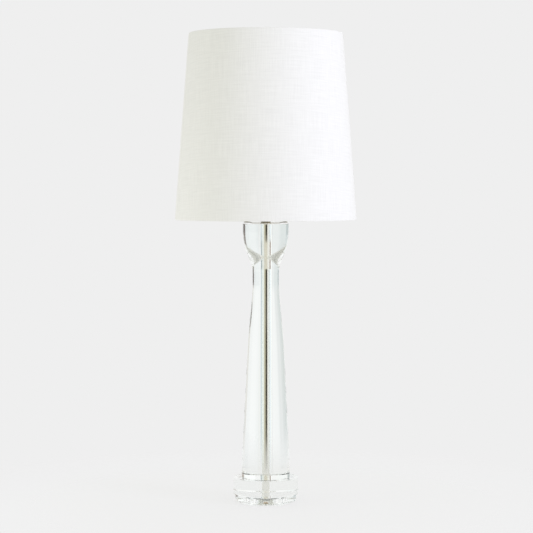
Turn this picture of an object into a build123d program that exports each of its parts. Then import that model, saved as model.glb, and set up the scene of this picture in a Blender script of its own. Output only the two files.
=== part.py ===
from build123d import *
import os
from math import cos, radians, sqrt

# Candlestick table lamp: a turned crystal column with a cup at its head, on a round crystal
# disc and a six-sided crystal foot, clamped by a hollow threaded rod inside a nickel tube.
# A detachable harp carries a tapered linen shade over a turn-knob lampholder.
# Millimetres, +Z up. The origin is the centre of the resting plane, under the foot's pads.
# The front of the lamp faces -Y, and the harp stands in the XZ plane.

# ---------------------------------------------------------------- crystal
PAD_RADIUS = 5.0
PAD_HEIGHT = 0.8
PAD_TAPER = 12
PADS = 6
PAD_CIRCLE_RADIUS = 40.0
FOOT_ACROSS_CORNERS = 102.6
FOOT_THICKNESS = 13.4
DISC_RADIUS = 54.5
DISC_THICKNESS = 27.5
GASKET_THICKNESS = 0.3
FOOT_GASKET_RADIUS = 20.0
COLUMN_GASKET_RADIUS = 16.0
GLASS_BEVEL = 0.6
BORE_RADIUS = 6.6
RECESS_RADIUS = 18.0
RECESS_DEPTH = 6.7
CORD_CHANNEL_WIDTH = 7.5

COLUMN_FOOT_RADIUS = 40.5
COLUMN_MIDDLE_RADIUS = 33.9
COLUMN_MIDDLE_HEIGHT = 197.0
COLUMN_SHOULDER_RADIUS = 27.8
COLUMN_SHOULDER_HEIGHT = 299.0
NECK_RADIUS = 22.2
NECK_LOW_HEIGHT = 376.0
NECK_HIGH_HEIGHT = 388.8
THROAT_RADIUS = 23.9
THROAT_HEIGHT = 400.3
BOWL_LOW_RADIUS = 28.6
BOWL_LOW_HEIGHT = 411.8
BOWL_MIDDLE_RADIUS = 33.5
BOWL_MIDDLE_HEIGHT = 423.8
BOWL_HIGH_RADIUS = 36.65
BOWL_HIGH_HEIGHT = 435.8
BOWL_SHOULDER_RADIUS = 38.1
BOWL_SHOULDER_HEIGHT = 448.8
CUP_RADIUS = 38.6
CUP_WALL_HEIGHT = 462.8
CUP_TOP = 468.8

# ---------------------------------------------------------------- clamp rod and nuts
TUBE_RADIUS = 6.35
TUBE_INNER_RADIUS = 5.2
ROD_RADIUS = 4.85
ROD_BORE_RADIUS = 3.3
ROD_TOP = 481.3
ROD_BOTTOM = 2.0
NUT_ACROSS_FLATS = 14.3
NUT_THICKNESS = 3.0
TOP_NUT_THICKNESS = 3.6
NUT_BEVEL = 0.5
BASE_WASHER_RADIUS = 15.0
BASE_WASHER_THICKNESS = 1.4
LOCK_WASHER_RADIUS = 8.0
LOCK_WASHER_THICKNESS = 0.9
LOCK_TEETH = 10
LOCK_TOOTH_LENGTH = 2.0
LOCK_TOOTH_GAP = 1.2
TOP_WASHER_RADIUS = 9.5
TOP_WASHER_THICKNESS = 0.5

# ---------------------------------------------------------------- harp saddle and harp
SADDLE_THICKNESS = 1.2
SADDLE_WIDTH = 11.0
SADDLE_FLAT_HALF = 23.0
SADDLE_RISE = 1.4
SADDLE_RISE_LENGTH = 4.0
HARP_LEG_X = 32.5
SADDLE_EYE_RADIUS = 4.4
SADDLE_WAIST_START = 28.5
SADDLE_WAIST_LENGTH = 12.0
WIRE_RADIUS = 2.0
LAP_LENGTH = 7.0
LAP_START = 4.0
LAP_GAP = 0.1
FERRULE_RADIUS = 3.2
FERRULE_BORE_RADIUS = 2.06
FERRULE_LENGTH = 13.0
FERRULE_LIP_RADIUS = 3.7
FERRULE_LIP_HEIGHT = 1.2
FERRULE_LIP_BEVEL = 0.3
HARP_SEAT = 761.0
HARP_WIDE_X = 55.0
HARP_STRAIGHT_TOP = 515.0
HARP_WIDE_LOW = 572.0
HARP_WIDE_HIGH = 688.0
HARP_CROWN_X = 30.0
HARP_SIDE_BEND = 60.0
HARP_CROWN_BEND = 16.0
COLLAR_RADIUS = 7.0
COLLAR_HEIGHT = 3.2
COLLAR_BEVEL = 0.8
WIRE_FLAT = 0.5
STUD_RADIUS = 3.05
STUD_LENGTH = 12.0
STUD_BEVEL = 0.6

# ---------------------------------------------------------------- lampholder and bulb
HUB_RADIUS = 6.8
CAP_RADIUS = 16.6
CAP_HUB_HEIGHT = 3.5
CAP_DOME_HEIGHT = 9.0
CAP_BELLY_RADIUS = 13.3
CAP_BELLY_RISE = 3.8
CAP_RIM_HEIGHT = 3.5
SHEET_METAL = 0.6
SHELL_RADIUS = 15.9
SHELL_TOP = 529.0
SHELL_BEAD_RADIUS = 0.9
SHELL_HOLE_CLEARANCE = 0.4
LINER_LOWER_GAP = 1.0
LINER_UPPER_GAP = 1.5
LINER_THICKNESS = 0.8
HOLDER_BODY_RADIUS = 13.6
HOLDER_BODY_BOTTOM = 483.5
HOLDER_BODY_TOP = 503.0
HOLDER_BODY_BEVEL = 2.0
LEAD_WAY_DEPTH = 3.0
TERMINAL_FLAT_DEPTH = 2.4
SCREW_SHELL_RADIUS = 14.1
SCREW_SHELL_INNER_RADIUS = 13.5
SCREW_SHELL_TOP = 527.0
SCREW_SHELL_HOLE_RADIUS = 8.0
CONTACT_THICKNESS = 0.5
CONTACT_RISE = 2.4
CONTACT_FOOT_X = -5.5
CONTACT_BEND_X = -1.5
CONTACT_TIP_X = 4.2
CONTACT_WIDTH = 5.0
TERMINAL_RADIUS = 2.6
TERMINAL_HEAD = 1.6
TERMINAL_SLOT_WIDTH = 0.8
TERMINAL_SLOT_DEPTH = 0.6
TERMINAL_BEVEL = 0.4
TERMINAL_HEIGHT = 490.0
SWITCH_HEIGHT = 495.5
SWITCH_STEM_RADIUS = 2.0
SWITCH_BORE_RADIUS = 2.06
SWITCH_INNER_END = 7.0
SWITCH_COLLAR_RADIUS = 3.6
SWITCH_COLLAR_GAP = 0.8
KNOB_RADIUS = 6.5
KNOB_START = 18.0
KNOB_LENGTH = 9.0
KNOB_GRIP_DEPTH = 5.0
KNOB_BEVEL = 1.6
KNOB_FLUTES = 12
KNOB_FLUTE_RADIUS = 0.8
BULB_CAP_RADIUS = 13.1
BULB_CAP_BOTTOM = 508.0
BULB_CAP_TOP = 531.5
BULB_RADIUS = 30.0
BULB_TOP = 614.0
BULB_NECK_RADIUS = 13.8
BULB_SWELL_OUT = 4.7
BULB_SWELL_UP = 22.0
BULB_WALL = 1.0
BULB_CONTACT_RADIUS = 4.6
BULB_CONTACT_GAP = 0.3
BULB_INSULATOR_RISE = 3.0
BULB_CAP_BEVEL = 0.8
BULB_INSULATOR_THICKNESS = 2.0

# ---------------------------------------------------------------- shade
SHADE_BOTTOM = 475.2
SHADE_TOP = 786.8
SHADE_BOTTOM_RADIUS = 152.4
SHADE_TOP_RADIUS = 129.0
LINEN_THICKNESS = 0.6
SHADE_LINER_THICKNESS = 0.6
RING_WIRE_RADIUS = 1.5
HEM_THICKNESS = 0.5
HEM_HEIGHT = 12.0
SPIDER_ARMS = 3
SPIDER_WIRE_RADIUS = 1.6
SPIDER_HUB_RADIUS = 13.0
SPIDER_HUB_THICKNESS = 1.6
SPIDER_HOLE_RADIUS = 3.5
SPIDER_ARM_START = 9.0
SPIDER_RISE_RADIUS = 108.0
SPIDER_BEND = 12.0

# ---------------------------------------------------------------- finial
FINIAL_SEAT_RADIUS = 6.8
FINIAL_WAIST_RADIUS = 4.2
FINIAL_NECK_HEIGHT = 9.0
FINIAL_BALL_RADIUS = 9.5
FINIAL_BORE_RADIUS = 3.11
FINIAL_SEAT_HEIGHT = 2.0
FINIAL_WAIST_RISE = 5.4
FINIAL_COLLAR_RADIUS = 5.6
FINIAL_BALL_SEAT_RADIUS = 5.2
FINIAL_STUD_GAP = 1.0

# ---------------------------------------------------------------- worked-out levels
foot_bottom = PAD_HEIGHT
foot_top = foot_bottom + FOOT_THICKNESS
disc_bottom = foot_top + GASKET_THICKNESS
disc_top = disc_bottom + DISC_THICKNESS
column_bottom = disc_top + GASKET_THICKNESS
recess_top = foot_bottom + RECESS_DEPTH
saddle_bottom = CUP_TOP + TOP_WASHER_THICKNESS
saddle_top = saddle_bottom + SADDLE_THICKNESS
saddle_eye_top = saddle_top + SADDLE_RISE
top_nut_top = saddle_top + TOP_NUT_THICKNESS
lap_bottom = saddle_eye_top + LAP_START
lap_top = lap_bottom + LAP_LENGTH
shade_slope = (SHADE_BOTTOM_RADIUS - SHADE_TOP_RADIUS) / (SHADE_TOP - SHADE_BOTTOM)
finial_seat = HARP_SEAT + SPIDER_HUB_THICKNESS

os.makedirs("parts", exist_ok=True)


def save(name, shape):
    """Write one sub-part to its own file."""
    export_step(shape, f"parts/{name}.step")


def disc(radius, bottom, top):
    """A plain upright cylinder between two levels."""
    return Pos(0, 0, bottom) * Cylinder(radius, top - bottom, align=(Align.CENTER, Align.CENTER, Align.MIN))


def ring(outer, inner, bottom, top):
    """An upright tube between two levels."""
    return disc(outer, bottom, top) - disc(inner, bottom, top)


def turned(outline):
    """Turn a closed outline, drawn in the XZ plane, about the lamp's axis."""
    return revolve(make_face(outline), Axis.Z, 360)


def hexagon(across_corners, bottom, top):
    """A six-sided prism with two corners on the X axis."""
    sketch = Plane.XY.offset(bottom) * RegularPolygon(across_corners / 2, 6)
    return extrude(sketch, top - bottom)


def hex_nut(bottom, top):
    """A hexagon nut with its corners turned off, bored to slip over the rod."""
    corner = NUT_ACROSS_FLATS / cos(radians(30))
    blank = hexagon(corner, bottom, top)
    turned_blank = chamfer(disc(corner / 2, bottom, top).edges(), NUT_BEVEL)
    return (blank & turned_blank) - disc(ROD_RADIUS, bottom, top)


def shade_radius(height):
    """Outer radius of the shade's cone at a level."""
    return SHADE_BOTTOM_RADIUS - shade_slope * (height - SHADE_BOTTOM)


# ================================================================ crystal base and column
def foot_pads():
    """Six clear pads, one under each corner of the foot."""
    spots = PolarLocations(PAD_CIRCLE_RADIUS, PADS)
    pad = extrude(Circle(PAD_RADIUS), PAD_HEIGHT, taper=PAD_TAPER)
    return [spot * pad for spot in spots]


def hex_foot():
    """Six-sided foot: bevelled edges, a recess for the clamp nut and a channel for a cord."""
    block = hexagon(FOOT_ACROSS_CORNERS, foot_bottom, foot_top)
    block = chamfer(block.edges(), GLASS_BEVEL)
    bore = disc(BORE_RADIUS, foot_bottom, foot_top)
    recess = disc(RECESS_RADIUS, foot_bottom, recess_top)
    channel_box = Box(CORD_CHANNEL_WIDTH, FOOT_ACROSS_CORNERS / 2, RECESS_DEPTH,
                      align=(Align.CENTER, Align.MIN, Align.MIN))
    channel_box = fillet(channel_box.edges().filter_by(Axis.Y).group_by(Axis.Z)[-1], CORD_CHANNEL_WIDTH / 3)
    return block - bore - recess - Pos(0, 0, foot_bottom) * channel_box


def bevelled_disc():
    """Round disc with polished bevels at its two edges."""
    blank = chamfer(disc(DISC_RADIUS, disc_bottom, disc_top).edges(), GLASS_BEVEL)
    return blank - disc(BORE_RADIUS, disc_bottom, disc_top)


def crystal_column():
    """Solid turned column: slow taper to the neck, then a bowl that swells to an upright wall."""
    flank = Spline(
        (COLUMN_FOOT_RADIUS, column_bottom + GLASS_BEVEL),
        (COLUMN_MIDDLE_RADIUS, COLUMN_MIDDLE_HEIGHT),
        (COLUMN_SHOULDER_RADIUS, COLUMN_SHOULDER_HEIGHT),
        (NECK_RADIUS, NECK_LOW_HEIGHT),
        tangents=[(-0.02, 1.0), (0.0, 1.0)],
    )
    neck = Line((NECK_RADIUS, NECK_LOW_HEIGHT), (NECK_RADIUS, NECK_HIGH_HEIGHT))
    bowl = Spline(
        (NECK_RADIUS, NECK_HIGH_HEIGHT),
        (THROAT_RADIUS, THROAT_HEIGHT),
        (BOWL_LOW_RADIUS, BOWL_LOW_HEIGHT),
        (BOWL_MIDDLE_RADIUS, BOWL_MIDDLE_HEIGHT),
        (BOWL_HIGH_RADIUS, BOWL_HIGH_HEIGHT),
        (BOWL_SHOULDER_RADIUS, BOWL_SHOULDER_HEIGHT),
        (CUP_RADIUS, CUP_WALL_HEIGHT),
        tangents=[(0.0, 1.0), (0.0, 1.0)],
    )
    top_and_bore = Polyline(
        (CUP_RADIUS, CUP_WALL_HEIGHT),
        (CUP_RADIUS, CUP_TOP - GLASS_BEVEL),
        (CUP_RADIUS - GLASS_BEVEL, CUP_TOP),
        (BORE_RADIUS, CUP_TOP),
        (BORE_RADIUS, column_bottom),
        (COLUMN_FOOT_RADIUS - GLASS_BEVEL, column_bottom),
        (COLUMN_FOOT_RADIUS, column_bottom + GLASS_BEVEL),
    )
    return turned(Plane.XZ * (flank + neck + bowl + top_and_bore))


save("foot_pads", Compound(children=foot_pads()))
save("hex_foot", hex_foot())
save("foot_gasket", ring(FOOT_GASKET_RADIUS, BORE_RADIUS, foot_top, disc_bottom))
save("base_disc", bevelled_disc())
save("column_gasket", ring(COLUMN_GASKET_RADIUS, BORE_RADIUS, disc_top, column_bottom))
save("crystal_column", crystal_column())


# ================================================================ clamp rod, tube and washers
def lock_washer(bottom):
    """Internal-tooth lock washer under the base nut."""
    gap = Pos(0, 0, bottom) * Box(LOCK_TOOTH_LENGTH, LOCK_TOOTH_GAP, 4 * LOCK_WASHER_THICKNESS)
    plate = ring(LOCK_WASHER_RADIUS, ROD_RADIUS, bottom, bottom + LOCK_WASHER_THICKNESS)
    for spot in PolarLocations(ROD_RADIUS + LOCK_TOOTH_LENGTH / 4, LOCK_TEETH):
        plate -= spot * gap
    return plate


base_washer_bottom = recess_top - BASE_WASHER_THICKNESS
lock_washer_bottom = base_washer_bottom - LOCK_WASHER_THICKNESS
base_nut_bottom = lock_washer_bottom - NUT_THICKNESS
base_washer = ring(BASE_WASHER_RADIUS, ROD_RADIUS, base_washer_bottom, recess_top)
top_washer = ring(TOP_WASHER_RADIUS, ROD_RADIUS, CUP_TOP, saddle_bottom)

save("centre_tube", ring(TUBE_RADIUS, TUBE_INNER_RADIUS, recess_top, CUP_TOP))
save("threaded_rod", ring(ROD_RADIUS, ROD_BORE_RADIUS, ROD_BOTTOM, ROD_TOP))
save("base_washer", base_washer)
save("lock_washer", lock_washer(lock_washer_bottom))
save("base_nut", hex_nut(base_nut_bottom, lock_washer_bottom))
save("top_washer", top_washer)
save("top_nut", hex_nut(saddle_top, top_nut_top))


# ================================================================ harp saddle, harp and ferrules
def saddle_half():
    """The strip from the rod out to the eye that carries one prong, on the +X side."""
    ramp_end = SADDLE_FLAT_HALF + SADDLE_RISE_LENGTH
    low = Polyline(
        (0, saddle_bottom),
        (SADDLE_FLAT_HALF, saddle_bottom),
        (ramp_end, saddle_bottom + SADDLE_RISE),
        (HARP_LEG_X, saddle_bottom + SADDLE_RISE),
        (HARP_LEG_X, saddle_eye_top),
        (ramp_end, saddle_eye_top),
        (SADDLE_FLAT_HALF, saddle_top),
        (0, saddle_top),
        (0, saddle_bottom),
    )
    strip = extrude(make_face(Plane.XZ * low), SADDLE_WIDTH / 2, both=True)
    waist = Pos(SADDLE_WAIST_START, 0, saddle_bottom) * Box(
        SADDLE_WAIST_LENGTH, SADDLE_WIDTH - 2 * SADDLE_EYE_RADIUS, 4 * SADDLE_RISE + 2 * SADDLE_THICKNESS)
    for side in (-1, 1):
        strip -= Pos(0, side * SADDLE_WIDTH / 2, 0) * waist
    eye = Pos(HARP_LEG_X, 0, 0) * disc(SADDLE_EYE_RADIUS, saddle_bottom + SADDLE_RISE, saddle_eye_top)
    return strip + eye + prong()


def prong():
    """Upright pin on the saddle, cut to half its thickness where the harp leg laps it."""
    pin = Pos(HARP_LEG_X, 0, 0) * disc(WIRE_RADIUS, saddle_eye_top, lap_top)
    notch = Pos(HARP_LEG_X, 0, lap_bottom) * Box(
        4 * WIRE_RADIUS, 2 * WIRE_RADIUS, 2 * LAP_LENGTH, align=(Align.CENTER, Align.MAX, Align.MIN))
    return pin - Pos(0, LAP_GAP / 2, 0) * notch


def harp_saddle():
    """Bent steel strip with an upright prong at each end and a centre hole for the rod."""
    right = saddle_half()
    return right + mirror(right, Plane.YZ) - disc(ROD_RADIUS, saddle_bottom, saddle_top)


def harp_leg_lap():
    """Lower end of one leg: the half that lies in front of the prong."""
    pin = Pos(HARP_LEG_X, 0, 0) * disc(WIRE_RADIUS, lap_bottom + LAP_GAP, lap_top + LAP_GAP)
    notch = Pos(HARP_LEG_X, -LAP_GAP / 2, lap_bottom) * Box(
        4 * WIRE_RADIUS, 2 * WIRE_RADIUS, LAP_LENGTH + LAP_GAP, align=(Align.CENTER, Align.MIN, Align.MIN))
    return pin - notch


def harp():
    """Wire loop: straight legs, a swell round the bulb, a flat crown and a threaded stud."""
    crown = HARP_SEAT - COLLAR_HEIGHT
    half = [
        (HARP_LEG_X, lap_top + LAP_GAP),
        (HARP_LEG_X, HARP_STRAIGHT_TOP),
        (HARP_WIDE_X, HARP_WIDE_LOW),
        (HARP_WIDE_X, HARP_WIDE_HIGH),
        (HARP_CROWN_X, crown),
    ]
    other_half = [(-x, z) for x, z in reversed(half)]
    bends = [HARP_SIDE_BEND, HARP_SIDE_BEND, HARP_SIDE_BEND, HARP_CROWN_BEND]
    path = Plane.XZ * FilletPolyline(*(half + other_half), radius=bends + bends[::-1])
    section = Plane((HARP_LEG_X, 0, lap_top + LAP_GAP), z_dir=(0, 0, 1)) * Circle(WIRE_RADIUS)
    wire = sweep(section, path)
    leg = harp_leg_lap()
    collar = disc(COLLAR_RADIUS, crown - WIRE_FLAT, HARP_SEAT)
    collar = chamfer(collar.edges().group_by(Axis.Z)[0], COLLAR_BEVEL)
    stud = disc(STUD_RADIUS, HARP_SEAT, HARP_SEAT + STUD_LENGTH)
    stud = chamfer(stud.edges().group_by(Axis.Z)[-1], STUD_BEVEL)
    return wire + leg + mirror(leg, Plane.YZ) + collar + stud


def ferrule(side):
    """Sliding sleeve with a finger lip that locks one leg to its prong."""
    bottom = saddle_eye_top
    sleeve = disc(FERRULE_RADIUS, bottom, bottom + FERRULE_LENGTH)
    lip = disc(FERRULE_LIP_RADIUS, bottom + FERRULE_LENGTH - FERRULE_LIP_HEIGHT, bottom + FERRULE_LENGTH)
    body = sleeve + chamfer(lip.edges(), FERRULE_LIP_BEVEL)
    body -= disc(FERRULE_BORE_RADIUS, bottom, bottom + FERRULE_LENGTH)
    return Pos(side * HARP_LEG_X, 0, 0) * body


save("harp_saddle", harp_saddle())
save("harp", harp())
save("ferrule_right", ferrule(1))
save("ferrule_left", ferrule(-1))


# ================================================================ lampholder
cap_bottom = top_nut_top
cap_dome_bottom = cap_bottom + CAP_HUB_HEIGHT
cap_dome_top = cap_dome_bottom + CAP_DOME_HEIGHT
cap_top = cap_dome_top + CAP_RIM_HEIGHT
shell_bottom = cap_dome_top


def socket_cap():
    """Spun cap: a hub for the rod that flares into a dome and a straight rim, open above."""
    outer = (
        Line((ROD_RADIUS, cap_bottom), (HUB_RADIUS, cap_bottom))
        + Line((HUB_RADIUS, cap_bottom), (HUB_RADIUS, cap_dome_bottom))
        + Spline(
            (HUB_RADIUS, cap_dome_bottom),
            (CAP_BELLY_RADIUS, cap_dome_bottom + CAP_BELLY_RISE),
            (CAP_RADIUS, cap_dome_top),
            tangents=[(1.0, 0.12), (0.0, 1.0)],
        )
        + Line((CAP_RADIUS, cap_dome_top), (CAP_RADIUS, cap_top))
    )
    wall = CAP_RADIUS - SHEET_METAL
    inner = (
        Line((CAP_RADIUS, cap_top), (wall, cap_top))
        + Line((wall, cap_top), (wall, cap_dome_top))
        + Spline(
            (wall, cap_dome_top),
            (CAP_BELLY_RADIUS - SHEET_METAL, cap_dome_bottom + CAP_BELLY_RISE + SHEET_METAL),
            (ROD_RADIUS + SHEET_METAL, cap_dome_bottom + 2 * SHEET_METAL),
            tangents=[(0.0, -1.0), (-1.0, -0.12)],
        )
        + Line((ROD_RADIUS + SHEET_METAL, cap_dome_bottom + 2 * SHEET_METAL),
               (ROD_RADIUS, cap_dome_bottom + 2 * SHEET_METAL))
        + Line((ROD_RADIUS, cap_dome_bottom + 2 * SHEET_METAL), (ROD_RADIUS, cap_bottom))
    )
    return turned(Plane.XZ * (outer + inner))


def switch_hole(radius):
    """Round hole towards the front at the height of the switch."""
    hole = Cylinder(radius, 2 * SHELL_RADIUS, align=(Align.CENTER, Align.CENTER, Align.MIN))
    return Pos(0, 0, SWITCH_HEIGHT) * Rot(90, 0, 0) * hole


def socket_shell():
    """Thin outer shell with a rolled bead at its mouth and a hole for the switch."""
    shell = ring(SHELL_RADIUS, SHELL_RADIUS - SHEET_METAL, shell_bottom, SHELL_TOP)
    bead_section = Pos(SHELL_RADIUS - SHEET_METAL / 2, SHELL_TOP) * RegularPolygon(SHELL_BEAD_RADIUS, 8)
    bead = revolve(Plane.XZ * bead_section, Axis.Z, 360)
    return shell + bead - switch_hole(SWITCH_COLLAR_RADIUS + SHELL_HOLE_CLEARANCE)


def socket_liner():
    """Paper sleeve that insulates the shell from the screw shell."""
    outer = SHELL_RADIUS - SHEET_METAL
    top = SHELL_TOP - LINER_UPPER_GAP
    sleeve = ring(outer, outer - LINER_THICKNESS, shell_bottom + LINER_LOWER_GAP, top)
    return sleeve - switch_hole(SWITCH_COLLAR_RADIUS + SHELL_HOLE_CLEARANCE)


def socket_body():
    """Moulded block with a step for the screw shell, a switch bore and flats for terminals."""
    block = disc(HOLDER_BODY_RADIUS, HOLDER_BODY_BOTTOM, HOLDER_BODY_TOP)
    block = chamfer(block.edges().group_by(Axis.Z)[0], HOLDER_BODY_BEVEL)
    flat_height = 2 * (TERMINAL_HEIGHT - HOLDER_BODY_BOTTOM)
    flat = Box(2 * TERMINAL_FLAT_DEPTH, 2 * HOLDER_BODY_RADIUS, flat_height,
               align=(Align.MIN, Align.CENTER, Align.MIN))
    right_flat = Pos(HOLDER_BODY_RADIUS - TERMINAL_FLAT_DEPTH, 0, HOLDER_BODY_BOTTOM) * flat
    block = block - right_flat - mirror(right_flat, Plane.YZ)
    lead_way = disc(ROD_BORE_RADIUS, HOLDER_BODY_BOTTOM, HOLDER_BODY_BOTTOM + LEAD_WAY_DEPTH)
    return block - switch_hole(SWITCH_BORE_RADIUS) - lead_way


def screw_shell():
    """Brass shell for the bulb's cap, closed by a rim that sits on the moulded block."""
    wall = ring(SCREW_SHELL_RADIUS, SCREW_SHELL_INNER_RADIUS, HOLDER_BODY_TOP, SCREW_SHELL_TOP)
    floor_top = HOLDER_BODY_TOP + SHEET_METAL
    floor = ring(SCREW_SHELL_INNER_RADIUS, SCREW_SHELL_HOLE_RADIUS, HOLDER_BODY_TOP, floor_top)
    return wall + floor


def centre_contact():
    """Bent brass tongue that presses on the bulb's end contact."""
    base = HOLDER_BODY_TOP
    tongue = Polyline(
        (CONTACT_FOOT_X, base),
        (CONTACT_BEND_X, base),
        (CONTACT_TIP_X, base + CONTACT_RISE),
        (CONTACT_TIP_X, base + CONTACT_RISE + CONTACT_THICKNESS),
        (CONTACT_BEND_X, base + CONTACT_THICKNESS),
        (CONTACT_FOOT_X, base + CONTACT_THICKNESS),
        (CONTACT_FOOT_X, base),
    )
    return extrude(make_face(Plane.XZ * tongue), CONTACT_WIDTH / 2, both=True)


def terminal_screws():
    """Two slotted screws, one on each flat of the moulded block."""
    reach = HOLDER_BODY_RADIUS - TERMINAL_FLAT_DEPTH
    head = disc(TERMINAL_RADIUS, reach, reach + TERMINAL_HEAD)
    head = chamfer(head.edges().group_by(Axis.Z)[-1], TERMINAL_BEVEL)
    slot = Box(TERMINAL_SLOT_WIDTH, 3 * TERMINAL_RADIUS, 2 * TERMINAL_SLOT_DEPTH)
    slot = Pos(0, 0, reach + TERMINAL_HEAD) * slot
    screw = Pos(0, 0, TERMINAL_HEIGHT) * Rot(0, 90, 0) * (head - slot)
    return [screw, mirror(screw, Plane.YZ)]


save("socket_cap", socket_cap())
save("socket_shell", socket_shell())
save("socket_liner", socket_liner())
save("socket_body", socket_body())
save("screw_shell", screw_shell())
save("centre_contact", centre_contact())
save("terminal_screws", Compound(children=terminal_screws()))


# ================================================================ switch knob
def along_front(shape):
    """Lay a shape built upright along the switch's axis, towards the front."""
    return Pos(0, 0, SWITCH_HEIGHT) * Rot(90, 0, 0) * shape


def switch_stem():
    """Turning stem with the collar that shows in the shell's hole."""
    stem = disc(SWITCH_STEM_RADIUS, SWITCH_INNER_END, KNOB_START + KNOB_GRIP_DEPTH)
    collar_start = HOLDER_BODY_RADIUS + SWITCH_COLLAR_GAP
    collar = ring(SWITCH_COLLAR_RADIUS, SWITCH_STEM_RADIUS, collar_start, KNOB_START)
    return along_front(stem + collar)


def switch_knob():
    """Fluted knob with a bevelled face, pressed on the stem."""
    knob_end = KNOB_START + KNOB_LENGTH
    knob = disc(KNOB_RADIUS, KNOB_START, knob_end)
    knob = chamfer(knob.edges().group_by(Axis.Z)[-1], KNOB_BEVEL)
    groove = disc(KNOB_FLUTE_RADIUS, KNOB_START - KNOB_FLUTE_RADIUS, knob_end + KNOB_FLUTE_RADIUS)
    for spot in PolarLocations(KNOB_RADIUS, KNOB_FLUTES):
        knob -= spot * groove
    knob -= disc(SWITCH_STEM_RADIUS, KNOB_START, KNOB_START + KNOB_GRIP_DEPTH)
    return along_front(knob)


save("switch_stem", switch_stem())
save("switch_knob", switch_knob())


# ================================================================ bulb
def bulb_outline(wall):
    """One side of the envelope, set in by the wall: neck, swell and round crown."""
    centre = BULB_TOP - BULB_RADIUS
    side = Spline(
        (BULB_NECK_RADIUS - wall, BULB_CAP_TOP),
        (BULB_NECK_RADIUS + BULB_SWELL_OUT - wall, BULB_CAP_TOP + BULB_SWELL_UP),
        (BULB_RADIUS - wall, centre),
        tangents=[(0.05, 1.0), (0.0, 1.0)],
    )
    return side + CenterArc((0, centre), BULB_RADIUS - wall, 0, 90)


def bulb_glass():
    """Pear-shaped envelope, open at the neck where the cap closes it."""
    profile = (
        bulb_outline(0)
        + Line((0, BULB_TOP), (0, BULB_TOP - BULB_WALL))
        + bulb_outline(BULB_WALL)
        + Line((BULB_NECK_RADIUS - BULB_WALL, BULB_CAP_TOP), (BULB_NECK_RADIUS, BULB_CAP_TOP))
    )
    return turned(Plane.XZ * profile)


def bulb_cap():
    """Hollow screw cap with a thick tapered insulator towards the end contact."""
    waist = BULB_CAP_BOTTOM + BULB_INSULATOR_RISE
    floor = waist + BULB_INSULATOR_THICKNESS
    profile = Polyline(
        (0, BULB_CAP_BOTTOM),
        (BULB_CONTACT_RADIUS + BULB_CAP_BEVEL, BULB_CAP_BOTTOM),
        (BULB_CAP_RADIUS - BULB_CAP_BEVEL, waist),
        (BULB_CAP_RADIUS, waist + BULB_CAP_BEVEL),
        (BULB_CAP_RADIUS, BULB_CAP_TOP),
        (BULB_CAP_RADIUS - SHEET_METAL, BULB_CAP_TOP),
        (BULB_CAP_RADIUS - SHEET_METAL, floor),
        (0, floor),
        (0, BULB_CAP_BOTTOM),
    )
    return turned(Plane.XZ * profile)


def bulb_contact():
    """Solder button on the end of the cap."""
    depth = BULB_CAP_BOTTOM - (HOLDER_BODY_TOP + CONTACT_RISE + CONTACT_THICKNESS) - BULB_CONTACT_GAP
    button = disc(BULB_CONTACT_RADIUS, BULB_CAP_BOTTOM - depth, BULB_CAP_BOTTOM)
    return chamfer(button.edges().group_by(Axis.Z)[0], depth / 2)


save("bulb_glass", bulb_glass())
save("bulb_cap", bulb_cap())
save("bulb_contact", bulb_contact())


# ================================================================ shade
def cone_skin(outer_offset, thickness):
    """Conical skin, set in from the shade's outer cone, between the two rims."""
    outline = Polyline(
        (SHADE_BOTTOM_RADIUS - outer_offset, SHADE_BOTTOM),
        (SHADE_TOP_RADIUS - outer_offset, SHADE_TOP),
        (SHADE_TOP_RADIUS - outer_offset - thickness, SHADE_TOP),
        (SHADE_BOTTOM_RADIUS - outer_offset - thickness, SHADE_BOTTOM),
        (SHADE_BOTTOM_RADIUS - outer_offset, SHADE_BOTTOM),
    )
    return turned(Plane.XZ * outline)


skin_total = LINEN_THICKNESS + SHADE_LINER_THICKNESS
lean = sqrt(1 + shade_slope * shade_slope)
ring_set_in = skin_total + RING_WIRE_RADIUS * lean
top_ring_height = SHADE_TOP - RING_WIRE_RADIUS - HEM_THICKNESS
bottom_ring_height = SHADE_BOTTOM + RING_WIRE_RADIUS + HEM_THICKNESS
top_ring_radius = shade_radius(top_ring_height) - ring_set_in
bottom_ring_radius = shade_radius(bottom_ring_height) - ring_set_in


def wire_ring(radius, height):
    """Wire ring that stiffens a rim, with an eight-sided section."""
    section = Pos(radius, height) * RegularPolygon(RING_WIRE_RADIUS, 8)
    return revolve(Plane.XZ * section, Axis.Z, 360)


def hem(rim, ring_radius, inward):
    """Turned-in cloth that wraps a rim's wire ring and is glued to the liner inside.

    rim is the rim's level, and inward is +1 where the shade lies above it, -1 below.
    """
    face_radius = ring_radius - RING_WIRE_RADIUS
    end = rim + inward * HEM_HEIGHT
    under = rim + inward * HEM_THICKNESS
    band_top = rim + inward * 2 * (RING_WIRE_RADIUS + HEM_THICKNESS)
    liner_at_end = shade_radius(end) - skin_total
    liner_at_under = shade_radius(under) - skin_total
    liner_at_rim = shade_radius(rim) - skin_total
    outline = Polyline(
        (liner_at_rim, rim),
        (face_radius - HEM_THICKNESS, rim),
        (face_radius - HEM_THICKNESS, band_top),
        (liner_at_end - HEM_THICKNESS, end),
        (liner_at_end, end),
        (face_radius, band_top - inward * HEM_THICKNESS),
        (face_radius, under),
        (liner_at_under, under),
        (liner_at_rim, rim),
    )
    return turned(Plane.XZ * outline)


def spider_hub():
    """Pressed washer that drops over the harp's stud and carries the arms."""
    return ring(SPIDER_HUB_RADIUS, SPIDER_HOLE_RADIUS, HARP_SEAT, finial_seat)


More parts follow.
